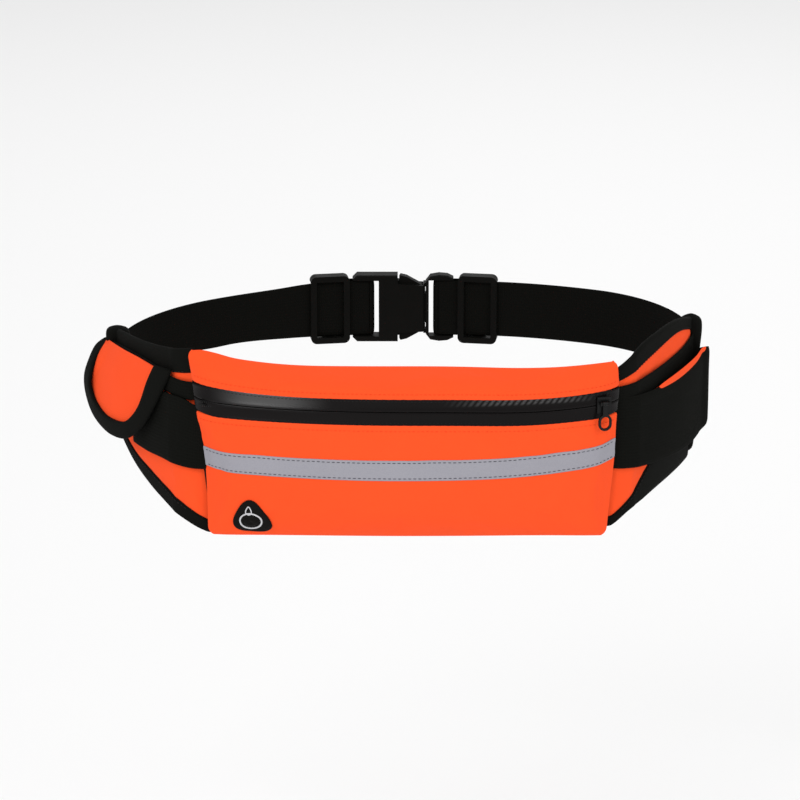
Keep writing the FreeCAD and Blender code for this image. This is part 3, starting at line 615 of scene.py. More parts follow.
def settled(name, grid, held_columns, cap, pressure=0.5, slack=0.004):
    """The grid after a short cloth simulation with its edges sewn down and air behind it.

    The cloth may shrink by the slack, held columns stay where they are, and no point moves past the cap.
    """
    rows, columns = grid.shape[:2]
    index = np.arange(rows * columns).reshape(rows, columns)
    cloth_mesh = bare_mesh(f"{name}_cloth", grid.reshape(-1, 3), grid_quads(index))
    thing = place_object(cloth_mesh.name, cloth_mesh)
    group = thing.vertex_groups.new(name="sewn")
    held = set(index[0]) | set(index[-1]) | set(index[:, 0]) | set(index[:, -1])
    for column in held_columns:
        held |= set(index[:, column])
    group.add([int(v) for v in held], 1.0, "REPLACE")
    modifier = thing.modifiers.new("cloth", "CLOTH")
    cloth = modifier.settings
    cloth.quality = 6
    cloth.mass = 0.25
    cloth.tension_stiffness = cloth.compression_stiffness = 25
    cloth.shear_stiffness = 10
    cloth.bending_stiffness = 2.5
    cloth.vertex_group_mass = group.name
    cloth.shrink_min = -slack
    cloth.use_pressure = True
    cloth.uniform_pressure_force = pressure
    cloth.effector_weights.gravity = 0
    modifier.collision_settings.use_collision = False
    modifier.point_cache.frame_start = 1
    modifier.point_cache.frame_end = CLOTH_FRAMES
    scene = bpy.context.scene
    for step in range(1, CLOTH_FRAMES + 1):
        scene.frame_set(step)
    final = thing.evaluated_get(bpy.context.evaluated_depsgraph_get())
    found = np.empty(grid.size)
    final.to_mesh().vertices.foreach_get("co", found)
    final.to_mesh_clear()
    scene.frame_set(1)
    bpy.data.objects.remove(thing)
    bpy.data.meshes.remove(cloth_mesh)
    moved = found.reshape(grid.shape) / MM - grid
    far = np.linalg.norm(moved, axis=2, keepdims=True) / cap + 1e-6
    return grid + moved * np.tanh(far) / far


BACK_THICK = 2.4
# The reflective tape stands out of the panel, reaches a little into it, and climbs towards the right
# from this share of the half width on.
TAPE_OUT, TAPE_IN = 0.75, 0.3
TAPE_CLIMB = 5.8
TAPE_CLIMB_FROM = 0.25
ZIP_THICK = 1.1
ZIP_GROOVE = 0.12
ZIP_OVERLAP = 1.0
# The tapes narrow over the last stretch to each side seam, sink into the groove, and ridge in its middle.
ZIP_NARROWING = 0.22
ZIP_NARROW_FROM, ZIP_NARROW_OVER = 0.9, 0.1
ZIP_SINK = 0.55
ZIP_RIDGE, ZIP_RIDGE_WIDTH = 0.75, 2.4


def make_pouch():
    """Both front panels, what is sewn to them, and the wall behind them."""
    # profile, columns, wrinkles and their seed, held columns, cap, rim and reach of the puckers, seam
    fronts = {
        "lower": (LOWER_PROFILE, 44, 0.35, 3, (1, 2, 3, 4, -2), 1.8, (1.0, 0.05), -3),
        "upper": (UPPER_PROFILE, 22, 0.3, 8, (1, -2, -3), 1.0, (0.0, 0.10), 3),
    }
    grids = {}
    for name, (profile, columns, depth, seed, held, cap, pucker, seam) in fronts.items():
        grid = wrinkled(front_grid(profile, SHARES, columns), depth, seed)
        grid = puckered(settled(f"front_{name}", grid, held, cap), *pucker)
        panel = add_slab(f"front_panel_{name}", grid, grid - grid_normals(grid) * FOAM, ORANGE)
        belongs(panel, f"pouch_front_{name}")
        grids[name] = grid, seam
    make_back_wall()
    make_strip(grids["lower"][0])
    for name, (grid, seam) in grids.items():
        row = add_stitches(f"zip_seam_{name}", grid[3:-3, seam], grid_normals(grid)[3:-3, seam],
                           ORANGE_THREAD, 2.8, 1.9, 0.5, 0.02)
        belongs(row)
    return grids["lower"][0]


def make_back_wall():
    """Flat wall against the body, edged by the seams of the pouch."""
    rows = []
    share = np.linspace(0, 1, 30)[:, None]
    for s in SHARES:
        low = front_point(s, FLOOR_Z + 0.6, 0, 0)
        high = front_point(s, TOP_EDGE - 2, 0, 0)
        column = low * (1 - share) + high * share
        column[:, 1] = SEAM_Y + BACK_THICK / 2 + 0.2
        rows.append(column)
    wall = add_sheet("back_wall", wrinkled(np.array(rows), 0.25, 5), BACK_THICK, LINING, 20, 60)
    belongs(wall, "pouch_back_wall")


def at_heights(grid, heights):
    """Where each row of a grid passes its own heights: points as (rows, heights, 3)."""
    found = np.empty((*heights.shape, 3))
    for column, wanted, points in zip(grid, heights, found):
        order = np.argsort(column[:, 2])
        for k in range(3):
            points[:, k] = np.interp(wanted, column[order, 2], column[order, k])
    return found


def make_strip(lower):
    """Reflective tape, sewn along both edges; it climbs a little at the right side seam."""
    share = (np.linspace(-1, 1, len(lower)) - TAPE_CLIMB_FROM) / (1 - TAPE_CLIMB_FROM)
    climb = TAPE_CLIMB * np.clip(share, 0, 1) ** 2
    grid = at_heights(lower, np.linspace(STRIP_LOW[2], STRIP_HIGH[2], 9) + climb[:, None])[1:-1]
    outward = grid_normals(grid)
    outer = grid + outward * TAPE_OUT
    strip = add_slab("reflective_tape", outer, grid - outward * TAPE_IN, REFLECTIVE)
    belongs(strip, "reflective_strip")
    for name, column in (("low", 1), ("high", -2)):
        row = add_stitches(f"tape_stitches_{name}", outer[2:-2, column], outward[2:-2, column], DARK_THREAD,
                           3.1, 2.2, 0.5, 0.02)
        belongs(row)


def make_zip():
    """Two coated tapes that meet over the coils, with a fine groove between them."""
    middle = (ZIP_LOW + ZIP_HIGH) / 2
    for side, edge, sign in (("lower", ZIP_LOW, -1), ("upper", ZIP_HIGH, 1)):
        near = middle + sign * ZIP_GROOVE
        far = edge + sign * ZIP_OVERLAP
        rows = []
        for s in SHARES:
            narrow = 1 - ZIP_NARROWING * max(0.0, (abs(s) - ZIP_NARROW_FROM) / ZIP_NARROW_OVER)
            column = []
            for share in np.linspace(0, 1, 14):
                z = middle + (near + (far - near) * share - middle) * narrow
                point = front_point(s, z, ZIP_ARC_DEPTH, ZIP_EDGE_DEPTH)
                ridge = math.exp(-((z - middle) / ZIP_RIDGE_WIDTH) ** 2) * ZIP_RIDGE
                sink = ZIP_SINK * min(1.0, (1 - share) * 5)
                point[1] += (ZIP_SINK - ridge) * sink
                column.append(point)
            rows.append(column)
        grid = np.array(rows)
        tape = add_sheet(f"zip_tape_{side}", grid + np.array([0, ZIP_THICK / 2, 0]), ZIP_THICK, FILM, 10, 60)
        belongs(tape, f"zipper_tape_{side}")
        line = grid[4:-4, 10] + np.array([0, 0.1, 0])
        row = add_stitches(f"zip_tape_stitches_{side}", line, grid_normals(grid)[4:-4, 10], BLACK_THREAD,
                           2.4, 1.6, 0.45, 0.05)
        belongs(row)
        make_coil(side, middle + sign * COIL_RISE)


COIL_PITCH = 1.3
COIL_RISE = 1.2
COIL_DEPTH = 2.3
COIL_HALF = (0.65, 0.75)
COIL_WIRE = 0.28
COIL_STEPS = 6


def make_coil(side, height):
    """Teeth of the coil, inside the pouch behind the tapes."""
    angle = math.asin((HALF_WIDTH - 3) / FRONT_RADIUS)
    radius = FRONT_RADIUS - COIL_DEPTH
    count = int(2 * angle * radius / COIL_PITCH) * COIL_STEPS + 1
    swing = np.linspace(-angle, angle, count)
    twist = 2 * math.pi * np.arange(count) / COIL_STEPS
    reach = radius + COIL_HALF[0] * np.cos(twist)
    path = np.stack([reach * np.sin(swing), FRONT_Y + FRONT_RADIUS - reach * np.cos(swing),
                     height + COIL_HALF[1] * np.sin(twist), np.full(count, 1 / MM)], axis=1) * MM
    curve = bpy.data.curves.new(f"zip_coil_{side}", "CURVE")
    curve.dimensions = "3D"
    curve.bevel_depth = COIL_WIRE * MM
    curve.bevel_resolution = 1
    spline = curve.splines.new("POLY")
    spline.points.add(count - 1)
    spline.points.foreach_set("co", path.ravel())
    curve.materials.append(COIL)
    belongs(place_object(curve.name, curve), f"zipper_coil_{side}")


# ---- wings ----

WING_CENTRE = (-208.5, 142.8)
WING_RADIUS = 415.5
WING_START, WING_END = -32.5, -19.6
WIDE_CENTRE = (-104.3, 116.3)
WIDE_RADIUS = 319.5
WIDE_START, WIDE_END = -38.5, -22.5
LEFT_WIDE_END = -25.0
# Each wing's start is sewn behind the pouch's back wall; the wide band turns in at the belt.
WING_ROOT = [(117, -89.8), (123, -90), (129, -89.4), (135.6, -86)]
WIDE_ROOT = [(117, -90.8), (123, -91.2), (129.5, -91.4), (136.5, -89.4)]
WIDE_TURN = [(194.8, 0), (195.4, 4.5), (193, 9.5), (187.5, 12)]
SEAM_X = 129.0
LEFT_FLOOR_SEAM_X = 122.5


def wing_plan(stand_off=0.0, count=80, end=WING_END):
    """The wing's line in plan, moved out by stand_off."""
    bend = arc(WING_CENTRE, WING_RADIUS, WING_START, end, 24)
    line = smooth_line(WING_ROOT + list(bend), count)
    along = unit(np.gradient(line, axis=0))
    return line + np.stack([along[:, 1], -along[:, 0]], axis=1) * stand_off


def wide_plan():
    """The line of the right wing's wide band in plan."""
    bend = arc(WIDE_CENTRE, WIDE_RADIUS, WIDE_START, WIDE_END, 24)
    return smooth_line(WIDE_ROOT + list(bend) + WIDE_TURN, 80)


def along_wing(plan, start=SEAM_X):
    """Share of the way from the side seam to the belt, for each point of a plan line."""
    reach = reach_along(plan)
    seam = np.interp(start, plan[:, 0], reach)
    return np.clip((reach - seam) / (reach[-1] - seam), 0, 1)


# Edges of the wings' layers along their length: share of the way to the belt, then height.
EDGE_POINTS = {
    "right": {
        "top": ((0, 0.22, 0.48, 0.75, 1), (18, 28.5, 31.5, 30, 23.5)),
        "binding": ((0, 0.34, 0.83, 1), (9.5, 17.5, 19.5, 14.5)),
        "narrow": ((0, 0.42, 0.63, 0.83, 1), (2, 2.6, 2.7, 2.9, 4)),
        "narrow_half": ((0, 0.42, 0.63, 0.83, 1), (6, 6.4, 7, 7.8, 9.5)),
        "wide_top": ((0, 0.33, 0.6, 0.75, 0.85, 1), (1.5, -1.5, -1.2, 1, 4.5, -1)),
        "wide_low": ((0, 0.33, 0.75, 0.9, 1), (-45.5, -51, -52.5, -48, -44)),
        "hem_top": ((0, 0.15, 0.4, 1), (-77.5, -66.5, -49, -44)),
        "low": ((0, 0.1, 0.3, 1), (-84.5, -78, -75, -72.5)),
    },
    "left": {
        "top": ((0, 0.3, 1), (33, 26.5, 15.5)),
        "binding": ((0, 0.2, 0.3, 0.5, 1), (16.5, 12.5, 10.8, 7.5, 2)),
        "narrow": ((0, 0.06, 0.22, 0.5, 1), (5.6, 5.3, 6.3, 4, -3)),
        "narrow_half": ((0, 1), (6, 6)),
        "wide_top": ((0, 0.07, 0.25, 0.5, 1), (-3, -0.6, 1, -1.5, -6)),
        "wide_low": ((0, 0.4, 0.7, 1), (-45, -45, -47, -48)),
        "hem_top": ((0, 0.12, 0.28, 0.48, 0.72, 1), (-79.5, -72, -66, -61, -56, -45)),
        "low": ((0, 0.12, 0.28, 0.48, 0.72, 1), (-88.5, -82.5, -77.5, -72.5, -65, -52)),
    },
}
EDGES = {label: {name: curve_through(*points) for name, points in edges.items()}
         for label, edges in EDGE_POINTS.items()}

BINDING_THICK = 4.0
NARROW_THICK, NARROW_OFF = 1.3, 2.9
WIDE_THICK, WIDE_OFF = 1.5, 4.6


def add_strip(name, plan, low, high, thickness, material, side, columns, power, relief=None):
    """A strip of cloth that stands on a plan line, between the heights low and high."""
    grid = upright(plan, low, high, columns)
    if relief is not None:
        grid = relief(grid)
    if side < 0:
        grid = flipped(grid)
    return add_sheet(name, grid, thickness, material, power, 60)


def edge_stitches(name, plan, heights, side):
    """Stitches on the outer face of a wing's binding."""
    grid = upright(plan, heights, heights + 1, 2)
    outward = grid_normals(grid)[:, 0]
    line = grid[:, 0] + outward * (BINDING_THICK / 2 - 0.05)
    if side < 0:
        line, outward = flipped(line), flipped(outward)
    belongs(add_stitches(name, line, outward, BLACK_THREAD))


def make_wing(side, label):
    """A wing: its orange panel, both bindings, both elastic bands and the end tab."""
    edges = EDGES[label]
    plan = wing_plan()
    share = along_wing(plan)
    top, edge = edges["top"](share), edges["binding"](share)
    low_share = along_wing(plan, SEAM_X if side > 0 else LEFT_FLOOR_SEAM_X)
    hem_top, low = edges["hem_top"](low_share), edges["low"](low_share)

    def soft(grid):
        return settled(f"wing_{label}", wrinkled(grid, 0.3, 11 + side, 9.0), (), 0.6, 0.3, 0.003)

    panel = add_strip(f"wing_{label}", plan, hem_top - 2, edge + 2, FOAM, ORANGE, side, 24, 20, soft)
    belongs(panel, f"wing_panel_{label}")
    sewn = plan[:, 0] > SEAM_X - 1
    for place, own_plan, low_edge, high_edge, stitches in (
        ("top", plan[sewn], edge[sewn], top[sewn], edge + 1.6),
        ("bottom", plan, low, hem_top, hem_top - 1.6),
    ):
        binding = add_strip(f"{place}_binding_{label}", own_plan, low_edge, high_edge, BINDING_THICK,
                            TAPE_CLOTH, side, 12, 5)
        belongs(binding, f"wing_{place}_binding_{label}")
        edge_stitches(f"{place}_binding_stitches_{label}", plan[12:-2], stitches[12:-2], side)

    outer = wing_plan(NARROW_OFF)
    share = along_wing(outer)
    middle, half = edges["narrow"](share), edges["narrow_half"](share)
    narrow = add_strip(f"narrow_band_{label}", outer, middle - half, middle + half, NARROW_THICK, ELASTIC,
                       side, 12, 10)
    belongs(narrow, f"side_band_upper_{label}")

    wide = wide_plan() if side > 0 else wing_plan(WIDE_OFF, 60, LEFT_WIDE_END)
    share = along_wing(wide)
    band = add_strip(f"wide_band_{label}", wide, edges["wide_low"](share), edges["wide_top"](share),
                     WIDE_THICK, ELASTIC, side, 24, 12, lambda grid: wrinkled(grid, 0.45, 21, 7.0))
    belongs(band, f"side_band_lower_{label}")
    if side > 0:
        make_band_edge(wide, share, edges["wide_top"])
    make_end_tab(side, label)


CRESCENT = (0.32, 0.87)
CRESCENT_RISE = 3.4
CRESCENT_HIDDEN = 4


def make_band_edge(wide, share, band_top):
    """Orange cloth that shows as a crescent along the top of the right wing's wide band."""
    inside = wide + (wide - wide.mean(axis=0)) * -0.012
    shown = (share > CRESCENT[0]) & (share < CRESCENT[1])
    place = (share[shown] - CRESCENT[0]) / (CRESCENT[1] - CRESCENT[0])
    low = band_top(share[shown]) - CRESCENT_HIDDEN
    high = low + CRESCENT_HIDDEN + CRESCENT_RISE * np.sin(math.pi * place) ** 0.6
    trim = add_strip("band_edge_right", inside[shown], low, high, 1.0, ORANGE, 1, 8, 8)
    belongs(trim)


TAB_HALF = (7.2, 6.4)
TAB_LEAN = 2.2
TAB_PINCH = 0.14
TAB_SIDES = 32


def make_end_tab(side, label):
    """Folded cloth that closes the wing's end round the webbing."""
    low, high = float(EDGES[label]["low"](1.0)) + 2, float(EDGES[label]["top"](1.0)) + 1
    middle_x, middle_y = (TAB_LOW[0] + TAB_HIGH[0]) / 2 - 1, (TAB_LOW[1] + TAB_HIGH[1] + 1) / 2
    around = full_turn(TAB_SIDES)
    rings = []
    for z in np.linspace(low, high, 34):
        up = (2 * z - low - high) / (high - low)
        shrink = (1 - abs(up) ** 9) ** (1 / 4) * 0.92 + 0.08
        pinch = 1 - TAB_PINCH * math.cos(3.2 * up)
        x = TAB_HALF[0] * shrink * pinch * squared(np.cos(around), 0.7)
        y = TAB_HALF[1] * shrink * squared(np.sin(around), 0.7)
        x += middle_x + TAB_LEAN * (up - 1)
        rings.append(np.stack([side * x, middle_y + y, np.full(TAB_SIDES, z)], axis=1))
    tab = add_tube(f"end_tab_{label}", np.array(rings), TAPE_CLOTH)
    belongs(tab, f"wing_end_tab_{label}")


# ---- pocket on the left wing ----

# Outlines seen from the side, as (y, z): the pocket's outer edge, and where the binding ends.
POCKET_OUTER = [
    (-84.5, 16.5), (-78, -0.5), (-67, -23.5), (-55.5, -37), (-46, -42), (-30, -43), (-10.5, -38.6),
    (3.5, -29), (6.5, -17),
]
POCKET_INNER = [
    (-75, 17), (-70, 5), (-63.5, -13), (-55.5, -24.5), (-47, -30), (-30, -31.5), (-16, -27.5), (-9, -22),
    (-7, -16.5),
]
POCKET_CENTRE = (-5.5, 74.7)
POCKET_RADIUS = 211.0
POCKET_OUT = np.array([-0.83, -0.55, 0.0])


def on_pocket(outline):
    """Points of a side outline, laid on the curve of the pocket's front."""
    found = []
    for y, z in outline:
        x = POCKET_CENTRE[0] - math.sqrt(POCKET_RADIUS**2 - (y - POCKET_CENTRE[1]) ** 2)
        found.append((x, y, z))
    return found


# The pocket's rear end turns in towards the webbing.
OUTER_LINE = on_pocket(POCKET_OUTER) + [(-202, 6, -6), (-197.5, 9, 3), (-191, 10, 8)]
INNER_LINE = on_pocket(POCKET_INNER) + [(-198, -3, -7), (-194, 1, 1), (-189, 4, 6)]
POCKET_EDGE = (np.array(OUTER_LINE) + np.array(INNER_LINE)) / 2
POCKET_MOUTH = [(-152.5, -76.5, 14.2), (-166, -52, 14), (-178, -28, 12), (-190, 7, 7)]
POCKET_ROWS = 81
POCKET_BULGE = 3.2
POCKET_BINDING = 3.6


def filled_between(first, second, columns):
    """A grid of straight columns from one line to another."""
    share = np.linspace(0, 1, columns)[None, :, None]
    return first[:, None] * (1 - share) + second[:, None] * share


def swollen(grid, bulge):
    """The pocket's face, pushed out in the middle."""
    rows, columns = grid.shape[:2]
    along = np.sin(np.linspace(0, math.pi, rows))[:, None] ** 1.5
    down = np.sin(math.pi * np.linspace(0, 1, columns) ** 0.75)[None, :] ** 1.5
    return grid + (along * down)[:, :, None] * POCKET_OUT * bulge


def against_wing(points, stand_off):
    """Points moved in towards the left wing until they lie on it."""
    moved = points.copy()
    centre = np.array([-WING_CENTRE[0], WING_CENTRE[1]])
    moved[:, :2] = centre + unit(points[:, :2] - centre) * (WING_RADIUS + stand_off)
    return moved


def make_pocket():
    """A padded face, a lining against the wing and a gusset between them, bound all round but the mouth."""
    edge, mouth = smooth_line(POCKET_EDGE, POCKET_ROWS), smooth_line(POCKET_MOUTH, POCKET_ROWS)
    front = swollen(filled_between(mouth, edge, 26), POCKET_BULGE)
    front = settled("pocket_front", wrinkled(front, 0.25, 31, 8.0), (1, -2), 1.0)
    outward = grid_normals(front)
    panel = add_slab("pocket_panel", front + outward * 0.6, front - outward * 1.2, ORANGE)
    belongs(panel, "gel_pocket")

    back_edge, back_mouth = against_wing(edge, 4.4), against_wing(mouth, 4.0)
    lining = add_sheet("pocket_back", filled_between(back_mouth, back_edge, 16), 1.2, LINING, 20, 20)
    belongs(lining)
    side_wall = wrinkled(filled_between(edge, back_edge, 9), 0.3, 41, 6.0)
    gusset = add_sheet("pocket_gusset", side_wall, 1.4, ELASTIC, 12, 20)
    belongs(gusset)
    outer = smooth_line(OUTER_LINE, 110)
    inner = smooth_line(INNER_LINE, 110) + POCKET_OUT * 1.1
    binding = add_binding("pocket_binding", outer, inner, POCKET_OUT, POCKET_BINDING)
    belongs(binding, "gel_pocket_binding")

    line = front[6:-6, 0] + POCKET_OUT * 0.7 - UP * 2.2
    seam = add_stitches("pocket_mouth_stitches", line, np.broadcast_to(POCKET_OUT, line.shape), ORANGE_THREAD)
    belongs(seam)


def add_binding(name, outer, inner, outward, thickness):
    """A tape folded over the edge of a pocket, between its outer and its inner line."""
    line, half = (outer + inner) / 2, (outer - inner) / 2
    rings = []
    for angle in full_turn(20):
        rise = squared(math.sin(angle), 0.6) * thickness / 2
        rings.append(line + half * squared(math.cos(angle), 0.5) + outward * rise)
    return add_tube(name, np.array(rings).transpose(1, 0, 2), TAPE_CLOTH)


def add_tube(name, rings, material):
    """A closed solid through rings of points."""
    across, along = reach_along(rings[0]) * MM, reach_along(rings.mean(axis=1)) * MM
    lengths = np.stack(np.meshgrid(along, across, indexing="ij"), axis=2).reshape(-1, 2)
    thing = add_mesh(name, rings.reshape(-1, 3), capped_faces(*rings.shape[:2]), material, lengths, True)
    fix_normals(thing)
    return thing


# ---- side seams ----


def make_side_seams():
    """Seam tape that closes each end of the pouch against the wing behind it."""
    plan = wing_plan()
    share = np.linspace(0, 1, 7)[:, None]
    for side, label in SIDES:
        rows = []
        for z in np.linspace(FLOOR_Z + 1.5, TOP_EDGE - 1.5, 44):
            edge = front_point(side, z, 0, 0)
            edge[0] -= side * 0.9
            wing_y = np.interp(abs(edge[0]) - 0.6, plan[:, 0], plan[:, 1])
            back = np.array([edge[0] - side * 0.8, wing_y + 0.6, edge[2]])
            rows.append(edge * (1 - share) + back * share)
        tape = add_sheet(f"side_seam_tape_{label}", np.array(rows), 1.2, TAPE_CLOTH, 12, 30)
        belongs(tape)


# ---- belt ----

BELT_CENTRE = (0.0, -247.0)
BELT_RADIUS = 343.35
HIP_RADIUS = 90.0
HIP_TURN = 68.4
BAR_TURN = 86.2
LAYER_STEP = 5.65
WEBBING_THICK = 1.4
ADJUSTER_X = 49.0
SEWN_LAP = 0.9

# Each strap's lower and upper edge at distances from the middle of the back. The left one twists
# a little, so that it looks narrower towards the wing.
STRAP_EDGES = {
    "right": (curve_through((25, 70, 130, 184), (-19, -18.2, -18.2, -19)),
              curve_through((25, 70, 130, 184), (19, 19.8, 19.8, 19))),
    "left": (curve_through((25, 75, 112, 130, 150, 171, 184), (-19, -19, -19.4, -21, -20, -18.3, -18)),
             curve_through((25, 62, 85, 115, 171, 184), (19, 18.3, 16, 14, 10.5, 10))),
}


def belt_plan():
    """From the buckle's bar round the back, then forwards round the hip."""
    reach = BELT_RADIUS - HIP_RADIUS
    turn = math.radians(HIP_TURN)
    hip = (reach * math.cos(turn), BELT_CENTRE[1] + reach * math.sin(turn))
    back = arc(BELT_CENTRE, BELT_RADIUS, BAR_TURN, HIP_TURN, 70)
    side = arc(hip, HIP_RADIUS, HIP_TURN, 9, 60)
    return np.vstack([back, side[1:]])


def turn_plan():
    """Round the buckle's bar, out along the strap and round the adjuster's middle bar."""
    far = math.degrees(math.acos(ADJUSTER_X / BELT_RADIUS)) - math.degrees(math.asin(3 / BELT_RADIUS))
    return_gap = WEBBING_THICK + 0.15

    def on_belt(radius, degrees):
        angle = math.radians(degrees)
        return (radius * math.cos(angle), BELT_CENTRE[1] + radius * math.sin(angle))

    fold = arc(on_belt(BELT_RADIUS + LAYER_STEP / 2, BAR_TURN), LAYER_STEP / 2, BAR_TURN + 180, BAR_TURN, 14)
    layer = arc(BELT_CENTRE, BELT_RADIUS + LAYER_STEP, BAR_TURN, far, 24)
    sewn_middle = on_belt(BELT_RADIUS + (LAYER_STEP + return_gap) / 2, far)
    sewn = arc(sewn_middle, (LAYER_STEP - return_gap) / 2, far, far - 180, 12)
    end = arc(BELT_CENTRE, BELT_RADIUS + return_gap, far, far + SEWN_LAP, 5)
    return np.vstack([fold, layer[1:], sewn[1:], end[1:]])


def make_belt():
    """Both webbings and the turns that lead back from the buckle to the adjusters."""
    plan = evenly(belt_plan(), 170)
    across = plan[:, 0]
    for side, label in SIDES:
        low_edge, top_edge = STRAP_EDGES[label]
        strap = add_strip(f"webbing_{label}", plan, low_edge(across), top_edge(across), WEBBING_THICK,
                          WEBBING, side, 14, 14)
        turn = add_strip(f"webbing_turn_{label}", turn_plan(), STRAP_LOW[2], STRAP_HIGH[2],
                         WEBBING_THICK - 0.1, WEBBING, side, 14, 14)
        for piece, node in ((strap, f"strap_{label}"), (turn, f"strap_turn_{label}")):
            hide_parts(node)
        if side > 0:
            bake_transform(strap)
            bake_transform(turn)
        else:
            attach(strap, "pack")
            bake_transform(turn)


# ---- earphone port ----


PORT_OUT = np.array([-0.17, -0.93, -0.32])
PORT_MIDDLE_Z = -73.0
PORT_CORNERS = [(-1.7, 21.6), (-16.5, -8.8), (19, -8.8)]
PORT_CORNER_RADIUS = 12.0
# Rings of the patch, as a share of its outline and the rise off the panel, then of its domed middle.
PATCH_RINGS = ((1.0, -0.8), (1.0, 0.9), (0.965, 1.35), (0.90, 1.5), (0.62, 1.6))
DOME_RINGS = ((1.0, 1.6), (0.96, 2.3), (0.72, 2.9), (0.4, 3.1), (0.16, 2.5))
DOME_HALF = (4.6, 4.2)
RING_HALF, RING_RISE, RING_WIRE = (6.9, 5.7), 1.65, 0.58
LOOP_MIDDLE, LOOP_HALF, LOOP_RISE, LOOP_WIRE = (-1.4, 7.6), (1.7, 2.9), 1.6, 0.42
LOOP_TAPER = 0.8


def make_port(lower):
    """Rubber patch that lies on the panel, with a domed slit and a raised silver ring."""
    centre_x = (PORT_LOW[0] + PORT_HIGH[0]) / 2
    flat = lower.reshape(-1, 3)

    def on_panel(across, up, rise):
        """A point off the panel, at places across and up from the port's middle."""
        x, z = centre_x + across * 0.98, PORT_MIDDLE_Z + up * 0.95
        distance = np.linalg.norm(flat[:, [0, 2]] - (x, z), axis=1)
        near = np.argsort(distance)[:6]
        weight = 1 / (distance[near] ** 2 + 0.05)
        y = (flat[near, 1] * weight).sum() / weight.sum()
        return np.array([x, y, z]) + PORT_OUT * rise

    outline = rounded_triangle(PORT_CORNERS, PORT_CORNER_RADIUS, 16)
    rings = [[on_panel(x * grow, y * grow, rise) for x, y in outline] for grow, rise in PATCH_RINGS]
    angles = [math.atan2(y, x) for x, y in outline]
    for size, rise in DOME_RINGS:
        rings.append([on_panel(DOME_HALF[0] * size * math.cos(angle), DOME_HALF[1] * size * math.sin(angle),
                               rise) for angle in angles])
    belongs(add_tube("port_patch", np.array(rings), RUBBER), "earphone_patch")

    ring_line = []
    for a in full_turn(48):
        ring_line.append(on_panel(RING_HALF[0] * math.cos(a), RING_HALF[1] * math.sin(a), RING_RISE))
    ring = add_loop("port_ring", np.array(ring_line), RING_WIRE, SILVER)
    belongs(ring, "earphone_ring")
    loop_line = []
    for a in full_turn(24):
        across = (LOOP_HALF[0] - LOOP_TAPER * math.sin(a)) * math.cos(a) + LOOP_MIDDLE[0]
        loop_line.append(on_panel(across, LOOP_HALF[1] * math.sin(a) + LOOP_MIDDLE[1], LOOP_RISE))
    belongs(add_loop("port_ring_loop", np.array(loop_line), LOOP_WIRE, SILVER))


def rounded_triangle(corners, radius, count):
    """Points round a triangle with rounded corners and slightly full sides."""
    points = []
    for i in range(3):
        before, corner, after = (np.array(corners[(i + k) % 3], float) for k in (-1, 0, 1))
        start, end = (corner + unit(far - corner) * radius * 1.3 for far in (before, after))
        for t in np.linspace(0, 1, count):
            points.append((1 - t) ** 2 * start + 2 * t * (1 - t) * corner + t**2 * end)
    return points


def add_loop(name, line, radius, material):
    """A closed ring of round section along a closed line."""
    count, sides = len(line), 10
    along = unit(np.roll(line, -1, axis=0) - np.roll(line, 1, axis=0))
    side = unit(np.cross(along, PORT_OUT))
    up = np.cross(side, along)
    c, s = (wave(full_turn(sides))[None, :, None] for wave in (np.cos, np.sin))
    points = line[:, None] + radius * (side[:, None] * c + up[:, None] * 0.8 * s)
    faces = np.array(ring_faces(count + 1, sides)) % (count * sides)
    thing = add_mesh(name, points.reshape(-1, 3), faces, material)
    fix_normals(thing)
    return thing


# ---- carried-over CAD pieces ----


def soften(thing, width, segments):
    """Round the sharp edges of a moulded or metal piece."""
    bevel = thing.modifiers.new("soft_edges", "BEVEL")
    bevel.width = width * MM
    bevel.segments = segments
    bevel.limit_method = "ANGLE"
    bevel.angle_limit = math.radians(35)


def finish_hard_parts():
    """Better materials and softened edges on the moulded and metal pieces."""
    for name in ("buckle_female", "buckle_male", "buckle_prong_upper", "buckle_prong_lower",
                 "adjuster_left", "adjuster_right", "zip_slider", "zip_pull"):
        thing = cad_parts[name]
        metal = name.startswith("zip")
        for place in thing.material_slots:
            place.material = METAL if metal else PLASTIC
        soften(thing, 0.18 if metal else 0.5, 3)


STOP_X = (13.03, 15.0)
STOP_Y = (94.8, 101.2)
STOP_HEIGHTS = {"low": (-17.4, -14.9), "middle": (-10.1, 10.1), "high": (14.9, 17.4)}


def make_plug_stops():
    """Small moulded stops on the plug that close the gap to the socket's mouth."""
    faces = [(0, 1, 3, 2), (4, 6, 7, 5), (0, 4, 5, 1), (2, 3, 7, 6), (0, 2, 6, 4), (1, 5, 7, 3)]
    for label, heights in STOP_HEIGHTS.items():
        points = [(x, y, z) for x in STOP_X for y in STOP_Y for z in heights]
        mesh = bare_mesh(f"plug_stop_{label}", points, faces)
        mesh.materials.append(PLASTIC)
        stop = place_object(mesh.name, mesh)
        soften(stop, 0.1, 2)
        belongs(stop, body="buckle_plug")


# ---- stage ----


FLOOR_SIZE = 6000.0
FLOOR_HEIGHT = -420.0
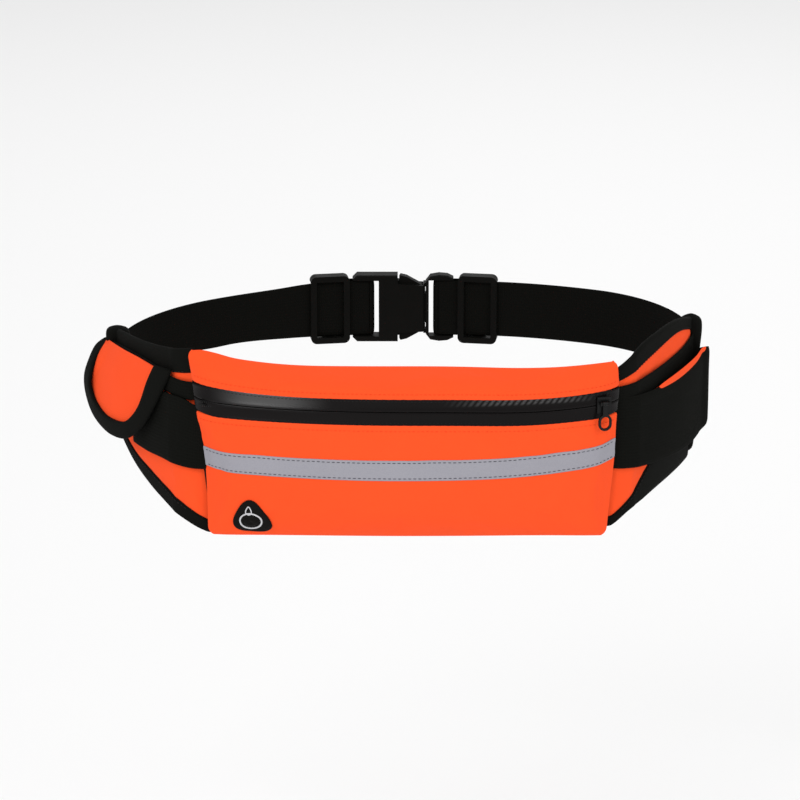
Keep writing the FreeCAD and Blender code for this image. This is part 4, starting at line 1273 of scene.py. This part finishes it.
# Lamps: name, place and size in metres, power in watts.
LAMPS = (
    ("key", (-1.3, -2.0, 2.0), 1.6, 30.0),
    ("gloss", (-0.92, -2.05, -0.05), 0.3, 3.0),
    ("fill", (1.7, -1.6, 1.2), 1.8, 16.0),
    ("back", (0.4, 2.2, 1.8), 1.8, 16.0),
)
CAMERA_AIM = np.array([-0.0025, 0.0, -0.032])
CAMERA_DISTANCE = 2.504
CAMERA_ELEVATION = math.radians(19)


def make_stage():
    """White floor, even light from all round, four lamps and the camera."""
    corners = [(x, y, FLOOR_HEIGHT) for x, y in ((-1, -1), (1, -1), (1, 1), (-1, 1))]
    corners = np.array(corners) * (FLOOR_SIZE, FLOOR_SIZE, 1)
    floor_mesh = bare_mesh("floor", corners, [(0, 1, 2, 3)])
    paper = bpy.data.materials.new("white_floor")
    paper.use_nodes = True
    tree = paper.node_tree
    adjust(tree, tree.nodes["Principled BSDF"], Base_Color=(0.93, 0.93, 0.93, 1), Roughness=0.9)
    floor_mesh.materials.append(paper)
    place_object("floor", floor_mesh)

    scene = bpy.context.scene
    scene.world = bpy.data.worlds.new("studio")
    scene.world.use_nodes = True
    tree = scene.world.node_tree
    adjust(tree, tree.nodes["Background"], Color=(1, 1, 1, 1), Strength=0.72)
    for name, place, size, power in LAMPS:
        lamp = bpy.data.lights.new(name, "AREA")
        lamp.energy = power
        lamp.size = size
        thing = place_object(name, lamp)
        thing.location = place
        aim_at(thing, (0, 0, 0))

    camera = bpy.data.cameras.new("camera")
    camera.lens = 175
    camera.sensor_width = 36
    camera.clip_end = 50
    eye = place_object("camera", camera)
    direction = np.array([0, -math.cos(CAMERA_ELEVATION), math.sin(CAMERA_ELEVATION)])
    eye.location = CAMERA_AIM + CAMERA_DISTANCE * direction
    aim_at(eye, CAMERA_AIM)
    scene.camera = eye
    scene.view_settings.view_transform = "Standard"
    scene.view_settings.look = "None"


def aim_at(thing, target):
    """Turn a lamp or a camera towards a point."""
    direction = Vector(target) - Vector(thing.location)
    thing.rotation_euler = direction.to_track_quat("-Z", "Y").to_euler()


make_stage()
front_panel = make_pouch()
make_zip()
for side, label in SIDES:
    make_wing(side, label)
make_side_seams()
make_pocket()
make_belt()
make_port(front_panel)
finish_hard_parts()
make_plug_stops()
